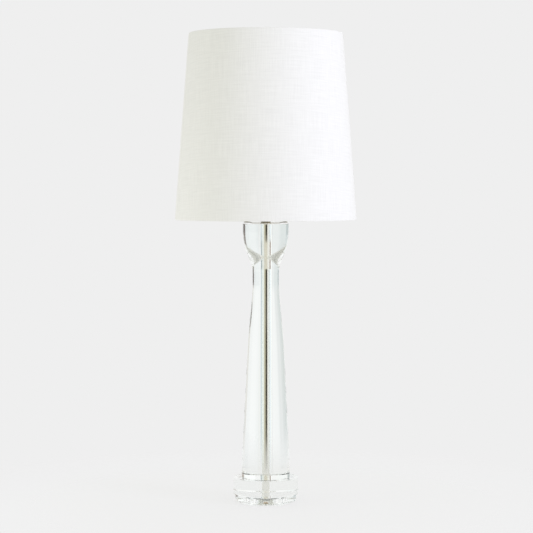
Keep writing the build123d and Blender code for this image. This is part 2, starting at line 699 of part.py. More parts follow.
def spider_arm():
    """One arm: flat along the hub, then a bend up to the top ring."""
    run = HARP_SEAT + SPIDER_WIRE_RADIUS
    path = Plane.XZ * FilletPolyline(
        (SPIDER_ARM_START, run),
        (SPIDER_RISE_RADIUS, run),
        (top_ring_radius, top_ring_height),
        radius=SPIDER_BEND,
    )
    section = Plane((SPIDER_ARM_START, 0, run), z_dir=(1, 0, 0)) * RegularPolygon(SPIDER_WIRE_RADIUS, 8)
    wire = sweep(section, path) - wire_ring(top_ring_radius, top_ring_height) - spider_hub()
    return wire.solids().sort_by(SortBy.VOLUME)[-1]


def shade_spider():
    """Three bent arms, each let into the hub washer and welded to the top ring."""
    arm = spider_arm()
    return [Rot(0, 0, 90 + index * 360 / SPIDER_ARMS) * arm for index in range(SPIDER_ARMS)]


save("shade_linen", cone_skin(0, LINEN_THICKNESS))
save("shade_liner", cone_skin(LINEN_THICKNESS, SHADE_LINER_THICKNESS))
save("top_ring", wire_ring(top_ring_radius, top_ring_height))
save("bottom_ring", wire_ring(bottom_ring_radius, bottom_ring_height))
save("spider_hub", spider_hub())
arms = shade_spider()
save("shade_spider", Compound(children=arms))
save("top_hem", hem(SHADE_TOP, top_ring_radius, -1) - arms)
save("bottom_hem", hem(SHADE_BOTTOM, bottom_ring_radius, 1))


# ================================================================ finial
def finial_neck():
    """Turned neck: a seat on the spider's hub, a waist and a small collar under the ball."""
    top = finial_seat + FINIAL_NECK_HEIGHT
    seat_top = finial_seat + FINIAL_SEAT_HEIGHT
    profile = (
        Line((FINIAL_BORE_RADIUS, finial_seat), (FINIAL_SEAT_RADIUS, finial_seat))
        + Line((FINIAL_SEAT_RADIUS, finial_seat), (FINIAL_SEAT_RADIUS, seat_top))
        + ThreePointArc(
            (FINIAL_SEAT_RADIUS, seat_top),
            (FINIAL_WAIST_RADIUS, finial_seat + FINIAL_WAIST_RISE),
            (FINIAL_COLLAR_RADIUS, top),
        )
        + Polyline((FINIAL_COLLAR_RADIUS, top), (FINIAL_BORE_RADIUS, top), (FINIAL_BORE_RADIUS, finial_seat))
    )
    return turned(Plane.XZ * profile)


def finial_ball():
    """Ball with a flat where it sits on the neck and a blind end for the stud."""
    top_of_neck = finial_seat + FINIAL_NECK_HEIGHT
    seat = sqrt(FINIAL_BALL_RADIUS**2 - FINIAL_BALL_SEAT_RADIUS**2)
    ball = Pos(0, 0, top_of_neck + seat) * Sphere(FINIAL_BALL_RADIUS)
    ball = split(ball, Plane.XY.offset(top_of_neck), keep=Keep.TOP)
    return ball - disc(FINIAL_BORE_RADIUS, top_of_neck, HARP_SEAT + STUD_LENGTH + FINIAL_STUD_GAP)


save("finial_neck", finial_neck())
save("finial_ball", finial_ball())
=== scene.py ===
"""Candlestick table lamp: crystal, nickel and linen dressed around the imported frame.

Every piece is in metres in the frame's own axes: +Z up, -Y the front, harp legs at -X and +X.
"""
import logging
import math
from dataclasses import dataclass, field
from enum import Enum
from typing import Any, Iterable, Sequence

import bmesh
import bpy
import numpy as np
from mathutils import Matrix, Vector


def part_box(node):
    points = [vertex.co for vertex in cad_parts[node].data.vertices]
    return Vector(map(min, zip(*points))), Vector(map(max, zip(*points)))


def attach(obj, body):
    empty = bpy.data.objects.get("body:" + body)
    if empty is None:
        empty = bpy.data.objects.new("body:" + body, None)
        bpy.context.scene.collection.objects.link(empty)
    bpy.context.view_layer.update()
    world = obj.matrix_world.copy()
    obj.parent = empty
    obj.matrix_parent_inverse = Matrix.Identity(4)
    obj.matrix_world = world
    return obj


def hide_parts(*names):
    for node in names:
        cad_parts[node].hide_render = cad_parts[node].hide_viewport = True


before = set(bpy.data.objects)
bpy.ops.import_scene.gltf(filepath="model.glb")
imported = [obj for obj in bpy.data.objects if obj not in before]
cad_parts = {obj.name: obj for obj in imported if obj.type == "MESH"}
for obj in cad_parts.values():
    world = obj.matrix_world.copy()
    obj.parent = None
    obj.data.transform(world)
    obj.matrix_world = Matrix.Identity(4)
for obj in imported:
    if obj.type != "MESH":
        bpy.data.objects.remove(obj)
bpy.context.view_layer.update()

log = logging.getLogger("candlestick_lamp")

MM = 0.001
SHARP_EDGE_DEGREES = 28.0
MERGE_DISTANCE = 0.002 * MM
FLAT_WITHIN = 0.01 * MM
ON_AXIS = 1e-6
SAME_ANGLE = 1e-9
LEVEL = 0.9  # least rise or fall of a level face's normal
DOWNWARD = -0.5  # rise of the normal under which a face looks down
STRAIGHT = math.radians(89)  # half of the angle between two sides from which a corner is no corner
ARC_SHARE = 0.49  # most of a side that one arc takes
Point = tuple[float, float]


# ============================================================================ colour and nodes
def linear(hex_colour: str) -> tuple[float, float, float, float]:
    """Turn an sRGB hex colour to linear light.

    Args:
        hex_colour: six hex digits, with or without a leading #.

    Returns:
        Linear red, green and blue, and an alpha of 1.
    """
    digits = hex_colour.lstrip("#")
    channels = (int(digits[at:at + 2], 16) / 255 for at in (0, 2, 4))
    red, green, blue = (c / 12.92 if c <= 0.04045 else ((c + 0.055) / 1.055) ** 2.4 for c in channels)
    return red, green, blue, 1.0


def add_node(tree: bpy.types.NodeTree, kind: str, inputs: dict[Any, Any] | None = None,
             **settings: Any) -> bpy.types.Node:
    """Add one node with its settings and links.

    Args:
        tree: node tree that receives the node.
        kind: Blender's identifier of the node's type.
        inputs: value or source socket for each input, by socket name or number.
        settings: attributes of the node itself.

    Returns:
        The new node.
    """
    node = tree.nodes.new(kind)
    for name, value in settings.items():
        setattr(node, name, value)
    for key, value in (inputs or {}).items():
        if isinstance(value, bpy.types.NodeSocket):
            tree.links.new(value, node.inputs[key])
        else:
            node.inputs[key].default_value = value
    return node


# ============================================================================ outlines and meshes
def rounded(corners: Sequence[Point], radii: Sequence[float], steps: int = 6) -> list[Point]:
    """Round the inner corners of an open outline with arcs.

    Args:
        corners: the outline's corners in order.
        radii: one radius for each inner corner; 0 leaves it sharp.
        steps: spans of each arc.

    Returns:
        The outline with its arcs, from first corner to last.
    """
    path = [corners[0]]
    for before, corner, after, radius in zip(corners, corners[1:], corners[2:], radii):
        here = Vector(corner)
        back, ahead = (Vector(before) - here), (Vector(after) - here)
        half = back.angle(ahead) / 2
        if radius <= 0 or half > STRAIGHT:
            path.append(corner)
            continue
        reach = min(radius / math.tan(half), back.length * ARC_SHARE, ahead.length * ARC_SHARE)
        start, end = here + back.normalized() * reach, here + ahead.normalized() * reach
        for step in range(steps + 1):
            t = step / steps
            path.append(tuple(start * (1 - t) ** 2 + here * (2 * t * (1 - t)) + end * t ** 2))
    path.append(corners[-1])
    return path


def in_scene(name: str, data: bpy.types.ID) -> bpy.types.Object:
    """Put a mesh, a lamp or a camera into the scene.

    Args:
        name: name of the new object.
        data: what it holds.

    Returns:
        The new object, at the origin.
    """
    thing = bpy.data.objects.new(name, data)
    bpy.context.scene.collection.objects.link(thing)
    return thing


def ring(inner: float, outer: float, bottom: float, top: float) -> list[Point]:
    """Section of a plain ring about the axis."""
    return [(inner, bottom), (outer, bottom), (outer, top), (inner, top)]


def about_axis(radius: float, angle: float, height: float) -> Vector:
    """Point at a distance from the axis, at an angle from +X."""
    return Vector((radius * math.cos(angle), radius * math.sin(angle), height))


def finished_mesh(name: str, bm: bmesh.types.BMesh, smooth: bool = True) -> bpy.types.Object:
    """Turn a bmesh into an object of the scene with clean normals.

    Args:
        name: name of the new piece.
        bm: the shape, which is freed.
        smooth: shade it smooth between its sharp edges.

    Returns:
        The new piece, at the origin.
    """
    bmesh.ops.recalc_face_normals(bm, faces=bm.faces)
    mesh = bpy.data.meshes.new(name)
    bm.to_mesh(mesh)
    bm.free()
    mesh.polygons.foreach_set("use_smooth", [smooth] * len(mesh.polygons))
    if smooth:
        mesh.set_sharp_from_angle(angle=math.radians(SHARP_EDGE_DEGREES))
    return in_scene(name, mesh)


def turned(name: str, outline: Sequence[Point], segments: int) -> bpy.types.Object:
    """Turn a closed outline about the lamp's axis.

    Args:
        name: name of the new piece.
        outline: (radius, height) points of the section, the last joined to the first.
        segments: steps round the axis.

    Returns:
        The turned piece, with its poles closed.
    """
    bm = bmesh.new()
    turns = [2 * math.pi * step / segments for step in range(segments)]
    rings = []
    for radius, height in outline:
        if radius < ON_AXIS:
            rings.append([bm.verts.new((0, 0, height))] * segments)
        else:
            rings.append([bm.verts.new(about_axis(radius, a, height)) for a in turns])
    for lower, upper in zip(rings, rings[1:] + rings[:1]):
        for step in range(segments):
            ahead = (step + 1) % segments
            corners = dict.fromkeys((lower[step], lower[ahead], upper[ahead], upper[step]))
            if len(corners) > 2:
                bm.faces.new(corners)
    return finished_mesh(name, bm)


def merged_copy(node: str, name: str) -> bpy.types.Object:
    """Copy a node's mesh with its loose triangles joined and its round faces shaded smooth.

    Args:
        node: the node of the frame.
        name: name of the new piece.

    Returns:
        The copy, which stands where the node is.
    """
    bm = bmesh.new()
    bm.from_mesh(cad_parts[node].data)
    bmesh.ops.remove_doubles(bm, verts=bm.verts, dist=MERGE_DISTANCE)
    return finished_mesh(name, bm)


def node_rows(node: str, bore: float, spacing: float) -> list[Point]:
    """Read a turned node's outer outline from its vertices.

    Args:
        node: the node of the frame.
        bore: radius up to which vertices belong to the bore.
        spacing: least height between two rows.

    Returns:
        (radius, height) rows from the bottom up, the two ends included.
    """
    spots = ((round(v.co.z, 6), math.hypot(v.co.x, v.co.y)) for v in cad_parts[node].data.vertices)
    rows = sorted({(height, radius) for height, radius in spots if radius > bore})
    heights = sorted({height for height, _ in rows})
    widest = {height: max(r for z, r in rows if z == height) for height in (heights[0], heights[-1])}
    kept = [(widest[heights[0]], heights[0])]
    kept += [(r, z) for z, r in rows if heights[0] < z < heights[-1]]
    kept.append((widest[heights[-1]], heights[-1]))
    thinned = [kept[0], kept[1]]
    for row in kept[2:-2]:
        if row[1] - thinned[-1][1] >= spacing and kept[-2][1] - row[1] >= spacing:
            thinned.append(row)
    return thinned + kept[-2:]


def refined(rows: Sequence[Point], step: float) -> list[Point]:
    """Put more rows into a smooth outline along a curve through its points.

    Args:
        rows: (radius, height) points from the bottom up.
        step: greatest height between two rows afterwards.

    Returns:
        The outline with the added rows.
    """
    radii, heights = (np.array(column) for column in zip(*rows))
    slopes = np.gradient(radii, heights)
    fine = []
    for at in range(len(rows) - 1):
        rise = heights[at + 1] - heights[at]
        spans = max(1, math.ceil(rise / step))
        for t in np.arange(spans) / spans:
            radius = ((2 * t ** 3 - 3 * t ** 2 + 1) * radii[at]
                      + (t ** 3 - 2 * t ** 2 + t) * rise * slopes[at]
                      + (3 * t ** 2 - 2 * t ** 3) * radii[at + 1]
                      + (t ** 3 - t ** 2) * rise * slopes[at + 1])
            fine.append((float(radius), float(heights[at] + t * rise)))
    return fine + [rows[-1]]


class GeometryTree:
    """A Geometry Nodes tree with named inputs, ended by Realize Instances and Set Material."""

    def __init__(self, name: str) -> None:
        """Start an empty tree under that name."""
        self.tree = bpy.data.node_groups.new(name, "GeometryNodeTree")
        self.tree.interface.new_socket("Geometry", in_out="INPUT", socket_type="NodeSocketGeometry")
        self.tree.interface.new_socket("Geometry", in_out="OUTPUT", socket_type="NodeSocketGeometry")
        self.source = self.tree.nodes.new("NodeGroupInput")
        self.identifiers: dict[str, str] = {}

    def add(self, kind: str, inputs: dict[Any, Any] | None = None, **settings: Any) -> bpy.types.Node:
        """Add one node to this tree, as add_node does."""
        return add_node(self.tree, kind, inputs, **settings)

    def size(self, name: str, kind: str = "NodeSocketFloat") -> bpy.types.NodeSocket:
        """Give the tree a named input.

        Args:
            name: what the input sets, in plain words.
            kind: Blender's type of socket.

        Returns:
            The socket inside the tree that carries its value.
        """
        item = self.tree.interface.new_socket(name, in_out="INPUT", socket_type=kind)
        self.identifiers[name] = item.identifier
        return self.source.outputs[name]

    def close(self, geometry: bpy.types.NodeSocket) -> None:
        """End the tree with real geometry in the piece's finish."""
        finish = self.size("Finish", "NodeSocketMaterial")
        real = self.add("GeometryNodeRealizeInstances", {"Geometry": geometry})
        smooth = self.add("GeometryNodeSetShadeSmooth", {0: real.outputs[0]})
        dressed = self.add("GeometryNodeSetMaterial", {"Geometry": smooth.outputs[0], "Material": finish})
        self.add("NodeGroupOutput", {0: dressed.outputs[0]})

    def make(self, name: str, sizes: dict[str, Any], material: bpy.types.Material,
             start: bpy.types.Object | None = None) -> bpy.types.Object:
        """Run the tree and keep its result as a plain mesh.

        Args:
            name: name of the new piece.
            sizes: a value for each named input.
            material: finish of the piece.
            start: object that the tree works on, which is used up.

        Returns:
            The new piece, at the origin, with no modifier.
        """
        host = start or in_scene(name + "_host", bpy.data.meshes.new(name + "_host"))
        modifier = host.modifiers.new("shape", "NODES")
        modifier.node_group = self.tree
        for key, value in {**sizes, "Finish": material}.items():
            modifier[self.identifiers[key]] = value
        evaluated = host.evaluated_get(bpy.context.evaluated_depsgraph_get())
        mesh = bpy.data.meshes.new_from_object(evaluated)
        bpy.data.objects.remove(host)
        mesh.name = name
        mesh.set_sharp_from_angle(angle=math.radians(SHARP_EDGE_DEGREES))
        return in_scene(name, mesh)


# ============================================================================ finishes
@dataclass(frozen=True)
class Finish:
    """What every finish has: a name, a material made once, and the ways to set it up."""

    name: str

    def material(self) -> bpy.types.Material:
        """The finish's material, made the first time that a piece asks for it."""
        found = bpy.data.materials.get(self.name)
        if found is None:
            found = bpy.data.materials.new(self.name)
            found.use_nodes = True
            self.paint(found.node_tree, found.node_tree.nodes["Principled BSDF"])
        return found

    def paint(self, tree: bpy.types.NodeTree, shader: bpy.types.Node) -> None:
        """Set up the shader; each finish has its own."""
        raise NotImplementedError

    @staticmethod
    def pattern(tree: bpy.types.NodeTree, size_mm: float, stretch: tuple[float, float, float] = (1, 1, 1),
                detail: float = 2.0) -> bpy.types.NodeSocket:
        """Noise that stays where it is on the piece.

        Args:
            tree: the material's nodes.
            size_mm: size of its spots, in millimetres.
            stretch: how much finer it is along each axis.
            detail: octaves of the noise.

        Returns:
            A value about 0.5, from 0 to 1.
        """
        place = add_node(tree, "ShaderNodeTexCoord").outputs["Object"]
        drawn = add_node(tree, "ShaderNodeMapping", {"Vector": place, "Scale": stretch}).outputs[0]
        return add_node(tree, "ShaderNodeTexNoise", {"Vector": drawn, "Scale": 1 / (size_mm * MM),
                                                     "Detail": detail}).outputs["Fac"]

    @staticmethod
    def surface(shader: bpy.types.Node, values: dict[str, Any],
                tones: tuple[bpy.types.NodeSocket, str, str] | None = None,
                relief: tuple[bpy.types.NodeSocket, float, float] | None = None) -> None:
        """Give the shader its plain values, its two tones and its relief.

        Args:
            shader: the material's shader.
            values: value of each of the shader's own sockets.
            tones: pattern that blends two hex colours, and the two.
            relief: pattern that raises the surface, its strength, and its depth in millimetres.
        """
        tree = shader.id_data
        for name, value in values.items():
            shader.inputs[name].default_value = value
        if tones:
            share, first, second = tones
            blend = add_node(tree, "ShaderNodeMix", {"Factor": share, "A": linear(first),
                                                     "B": linear(second)}, data_type="RGBA")
            tree.links.new(blend.outputs["Result"], shader.inputs["Base Color"])
        if relief:
            height, strength, depth_mm = relief
            bump = add_node(tree, "ShaderNodeBump", {"Height": height, "Strength": strength,
                                                     "Distance": depth_mm * MM})
            tree.links.new(bump.outputs[0], shader.inputs["Normal"])

    def dress(self, piece: bpy.types.Object) -> bpy.types.Object:
        """Put the material in all of a piece's slots.

        Args:
            piece: the piece to dress.

        Returns:
            The same piece.
        """
        if not piece.data.materials:
            piece.data.materials.append(None)
        for at in range(len(piece.data.materials)):
            piece.data.materials[at] = self.material()
        return piece


@dataclass(frozen=True)
class OpticalCrystal(Finish):
    """Clear crystal with sharp refraction and a breath of grey-green."""

    tint: str = "#FAFCFB"
    second_tint: str = "#FDFEFD"
    ior: float = 1.52
    ripple_mm: float = 45.0

    def paint(self, tree: bpy.types.NodeTree, shader: bpy.types.Node) -> None:
        """Clear body, with a tint that drifts slowly as in a cast blank."""
        ripple = self.pattern(tree, self.ripple_mm, detail=1.0)
        self.surface(shader, {"Roughness": 0.0, "IOR": self.ior, "Transmission Weight": 1.0},
                     tones=(ripple, self.tint, self.second_tint))


@dataclass(frozen=True)
class CloudyClear(Finish):
    """A see-through stuff with a rough or soft skin: part milky, part clear."""

    colour: str = "#F2F4F3"
    clear: float = 0.6
    roughness: float = 0.22
    ior: float = 1.46
    grain_mm: float = 0.8
    grain_strength: float = 0.2
    relief_mm: float = 0.05

    def paint(self, tree: bpy.types.NodeTree, shader: bpy.types.Node) -> None:
        """Cloudy body with a fine grain."""
        self.surface(shader, {"Base Color": linear(self.colour), "Roughness": self.roughness,
                              "IOR": self.ior, "Transmission Weight": self.clear},
                     relief=(self.pattern(tree, self.grain_mm), self.grain_strength, self.relief_mm))


@dataclass(frozen=True)
class ClearBond(Finish):
    """Adhesive between two polished faces: light goes straight on through it."""

    def paint(self, tree: bpy.types.NodeTree, shader: bpy.types.Node) -> None:
        """Nothing to see."""
        self.surface(shader, {"Alpha": 0.0, "Roughness": 0.0})


class Lay(Enum):
    """Which way a metal's fine polishing lines run."""

    AROUND = (1.0, 1.0, 60.0)
    ALONG = (60.0, 60.0, 1.0)
    NONE = (8.0, 8.0, 8.0)


@dataclass(frozen=True)
class Metal(Finish):
    """A bare or plated metal, with the fine lines that its last pass leaves."""

    colour: str
    roughness: float
    lay: Lay = Lay.AROUND
    line_mm: float = 9.0
    line_strength: float = 0.5
    relief_mm: float = 0.006
    cloud: float = 0.06
    cloud_mm: float = 14.0
    cloud_range: tuple[float, float] = (0.3, 0.7)
    glossiest: float = 0.02

    def paint(self, tree: bpy.types.NodeTree, shader: bpy.types.Node) -> None:
        """Mirror or satin metal: lines as relief, and a cloud in the gloss."""
        lines = self.pattern(tree, self.line_mm, self.lay.value, detail=3.0)
        gloss = add_node(tree, "ShaderNodeMapRange",
                         {"Value": self.pattern(tree, self.cloud_mm), "From Min": self.cloud_range[0],
                          "From Max": self.cloud_range[1],
                          "To Min": max(self.roughness - self.cloud, self.glossiest),
                          "To Max": self.roughness + self.cloud})
        tree.links.new(gloss.outputs[0], shader.inputs["Roughness"])
        self.surface(shader, {"Base Color": linear(self.colour), "Metallic": 1.0},
                     relief=(lines, self.line_strength, self.relief_mm))


@dataclass(frozen=True)
class Moulding(Finish):
    """An opaque moulded, pressed or coated stuff with a fine grain."""

    colour: str
    second_colour: str
    roughness: float
    grain_mm: float = 0.6
    grain_strength: float = 0.4
    relief_mm: float = 0.02
    specular: float = 0.5
    cloud_mm: float = 12.0

    def paint(self, tree: bpy.types.NodeTree, shader: bpy.types.Node) -> None:
        """Two close colours in a cloud, and a grain as relief."""
        self.surface(shader, {"Roughness": self.roughness, "Specular IOR Level": self.specular},
                     tones=(self.pattern(tree, self.cloud_mm), self.colour, self.second_colour),
                     relief=(self.pattern(tree, self.grain_mm), self.grain_strength, self.relief_mm))


@dataclass(frozen=True)
class WovenLinen(Finish):
    """Plain-woven slubby linen: matt, off-white, with long thick places in its yarns."""

    colour: str = "#F9F9F8"
    # the darker tone: the slubs' own tone, and painted shade in the dips of the weave
    slub_and_weave_shade_colour: str = "#F1F1F0"
    yarn_mm: float = 1.1
    slub_wide_mm: float = 1.9
    slub_long_mm: float = 42.0
    second_yarn_start: float = 7.3
    weave_painted_shade: float = 0.10
    weave_in_height: float = 0.25
    slub_range: tuple[float, float] = (0.72, 1.28)
    relief_strength: float = 0.25
    relief_mm: float = 0.1
    roughness: float = 0.85
    specular: float = 0.2
    sheen: float = 0.12
    sheen_roughness: float = 0.5

    def paint(self, tree: bpy.types.NodeTree, shader: bpy.types.Node) -> None:
        """Yarns both ways on the cloth's own flat coordinates, which are in metres."""
        flat = add_node(tree, "ShaderNodeUVMap", uv_map="cloth").outputs[0]
        wide, long = self.slub_wide_mm, self.slub_long_mm
        slubs = (self.slub(tree, flat, wide, long, 0.0),
                 self.slub(tree, flat, long, wide, self.second_yarn_start))
        both = add_node(tree, "ShaderNodeMath", {0: slubs[0], 1: slubs[1]}, operation="ADD").outputs[0]
        axes = add_node(tree, "ShaderNodeSeparateXYZ", {0: flat})
        waves, turns_per_metre = [], 2 * math.pi / (self.yarn_mm * MM)
        for axis in ("X", "Y"):
            turn = add_node(tree, "ShaderNodeMath", {0: axes.outputs[axis], 1: turns_per_metre},
                            operation="MULTIPLY").outputs[0]
            waves.append(add_node(tree, "ShaderNodeMath", {0: turn}, operation="SINE").outputs[0])
        weave = add_node(tree, "ShaderNodeMath", {0: waves[0], 1: waves[1]},
                         operation="MULTIPLY").outputs[0]
        tone = add_node(tree, "ShaderNodeMapRange", {"Value": both, "From Min": self.slub_range[0],
                                                     "From Max": self.slub_range[1]})
        # colour follows the weave's relief: darker in its dips, a painted shade between the yarns; the
        # slubs add their own tone
        slubs_and_weave_shade = add_node(tree, "ShaderNodeMath", {0: weave, 1: self.weave_painted_shade, 2: tone.outputs[0]},
                        operation="MULTIPLY_ADD", use_clamp=True).outputs[0]
        height = add_node(tree, "ShaderNodeMath", {0: weave, 1: self.weave_in_height, 2: both},
                          operation="MULTIPLY_ADD").outputs[0]
        self.surface(shader, {"Roughness": self.roughness, "Specular IOR Level": self.specular,
                              "Sheen Weight": self.sheen, "Sheen Roughness": self.sheen_roughness},
                     tones=(slubs_and_weave_shade, self.slub_and_weave_shade_colour, self.colour),
                     relief=(height, self.relief_strength, self.relief_mm))

    @staticmethod
    def slub(tree: bpy.types.NodeTree, flat: bpy.types.NodeSocket, wide: float, long: float,
             start: float) -> bpy.types.NodeSocket:
        """Noise drawn out along one yarn direction.

        Args:
            tree: the material's nodes.
            flat: the cloth's flat coordinates.
            wide: size across, in millimetres.
            long: size along, in millimetres.
            start: where in the noise this yarn direction starts.

        Returns:
            A value about 0.5, from 0 to 1.
        """
        place = add_node(tree, "ShaderNodeMapping",
                         {"Vector": flat, "Location": (start, start, 0),
                          "Scale": (1 / (wide * MM), 1 / (long * MM), 1.0)}).outputs[0]
        return add_node(tree, "ShaderNodeTexNoise", {"Vector": place, "Scale": 1.0, "Detail": 2.0,
                                                     "Roughness": 0.6}).outputs["Fac"]


# Optical crystal, cast, ground and felt-polished: the column bends the room into bright and dark lines.
CRYSTAL = OpticalCrystal("optical_crystal_polished")
# The same crystal as the core drill leaves it in the roof of the foot's recess: a pale matt patch.
GROUND = CloudyClear("optical_crystal_ground", colour="#F4F5F3", clear=0.45, roughness=0.55, ior=1.52,
                     grain_mm=0.25, grain_strength=0.3, relief_mm=0.03)
# Cured glass adhesive: no line of air between the disc and the foot, so the joint isn't seen.
BOND = ClearBond("glass_adhesive_clear")
# Soft vinyl, injection moulded: six small cloudy discs under the foot.
VINYL = CloudyClear("clear_vinyl_moulded")
# Clear vinyl sheet, die-cut: all but unseen under the column.
SEAT_VINYL = CloudyClear("clear_vinyl_sheet", colour="#F7F7F5", clear=1.0, roughness=0.0)
# Bright nickel on buffed brass: a warm mirror. Its buffing lines are too fine to show, so they are a
# breath of relief.
NICKEL = Metal("nickel_plate_polished", "#EFEDE8", 0.04, cloud=0.02, relief_mm=0.0006)
# Nickel on drawn steel wire: a softer gloss, with the die's lines along the wire.
NICKEL_WIRE = Metal("nickel_plate_drawn_wire", "#BDB6A8", 0.16, Lay.ALONG)
# Nickel plate on the small top nut, satin. Its dull, dark brownish colour is painted shade and painted
# reflection: the dark underside of the shade that the nut mirrors where it sits in shadow.
NICKEL_PAINTED_DARK = Metal("nickel_plate_painted_shade", "#8A7F6D", 0.26, Lay.NONE)
# Zinc plate on steel, as dipped: flat grey with a soft cloud.
ZINC = Metal("zinc_plate_dull", "#B9B8B2", 0.34, Lay.NONE)
# Free-cutting brass, turned: yellow satin with the tool's rings round it.
BRASS = Metal("brass_turned", "#C9A25C", 0.24)
# Thin aluminium, rolled: pale grey satin on the bulb's screw cap.
ALUMINIUM = Metal("aluminium_rolled", "#D2D3D4", 0.27)
# Tin solder, dipped: the dull grey button under the bulb.
SOLDER = Metal("tin_solder", "#B4B3AE", 0.38, Lay.NONE)
# Phenolic resin, compression moulded: near-black brown with a low gloss.
PHENOLIC = Moulding("phenolic_moulded_brown", "#2A211C", "#33281F", 0.45)
# Phenolic resin, moulded in a polished tool: the black knob's glossier flutes.
KNOB_BLACK = Moulding("phenolic_moulded_black", "#121211", "#1A1918", 0.28)
# Vulcanised fibre paper, rolled: matt brown card inside the lampholder.
FIBRE_PAPER = Moulding("vulcanised_fibre_paper", "#8A6F4E", "#9B8262", 0.8, grain_mm=1.4, relief_mm=0.05,
                       specular=0.2)
# Styrene sheet, calendered: the stiff, even white inside of the shade.
STYRENE = Moulding("styrene_sheet_white", "#F4F4F1", "#EFEFEB", 0.55, grain_mm=3.0, specular=0.3)
# Powder coat, baked on steel wire: white with a slight orange-peel.
POWDER_COAT = Moulding("powder_coat_white", "#F0F0ED", "#E9E9E5", 0.42, grain_mm=0.9, relief_mm=0.03)
# Blown glass with a white powder inside: a smooth gloss over an even white.
COATED_BULB = Moulding("bulb_glass_inside_coated", "#F5F4EF", "#EFEEE8", 0.2, grain_mm=6.0, relief_mm=0.01)
# Linen, plain-woven from slubby yarn: matt, with short thick places both ways. The dips of the weave are
# painted darker: painted shade between the yarns. The yarns are drawn 1.1 mm apart, about twice the real
# 0.5 mm, so that they show.
LINEN = WovenLinen("linen_slub_woven")


def place_piece(piece: bpy.types.Object, body: str, slot: str, *nodes: str) -> bpy.types.Object:
    """Let a finished piece ride on its body and stand for its nodes.

    Args:
        piece: the finished piece.
        body: the body that carries it.
        slot: the record's material slot; not used.
        nodes: the nodes that it stands for.

    Returns:
        The same piece.
    """
    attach(piece, body)
    if nodes:
        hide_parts(*nodes)
    log.info("%s: %d faces on %s", piece.name, len(piece.data.polygons), body)
    return piece


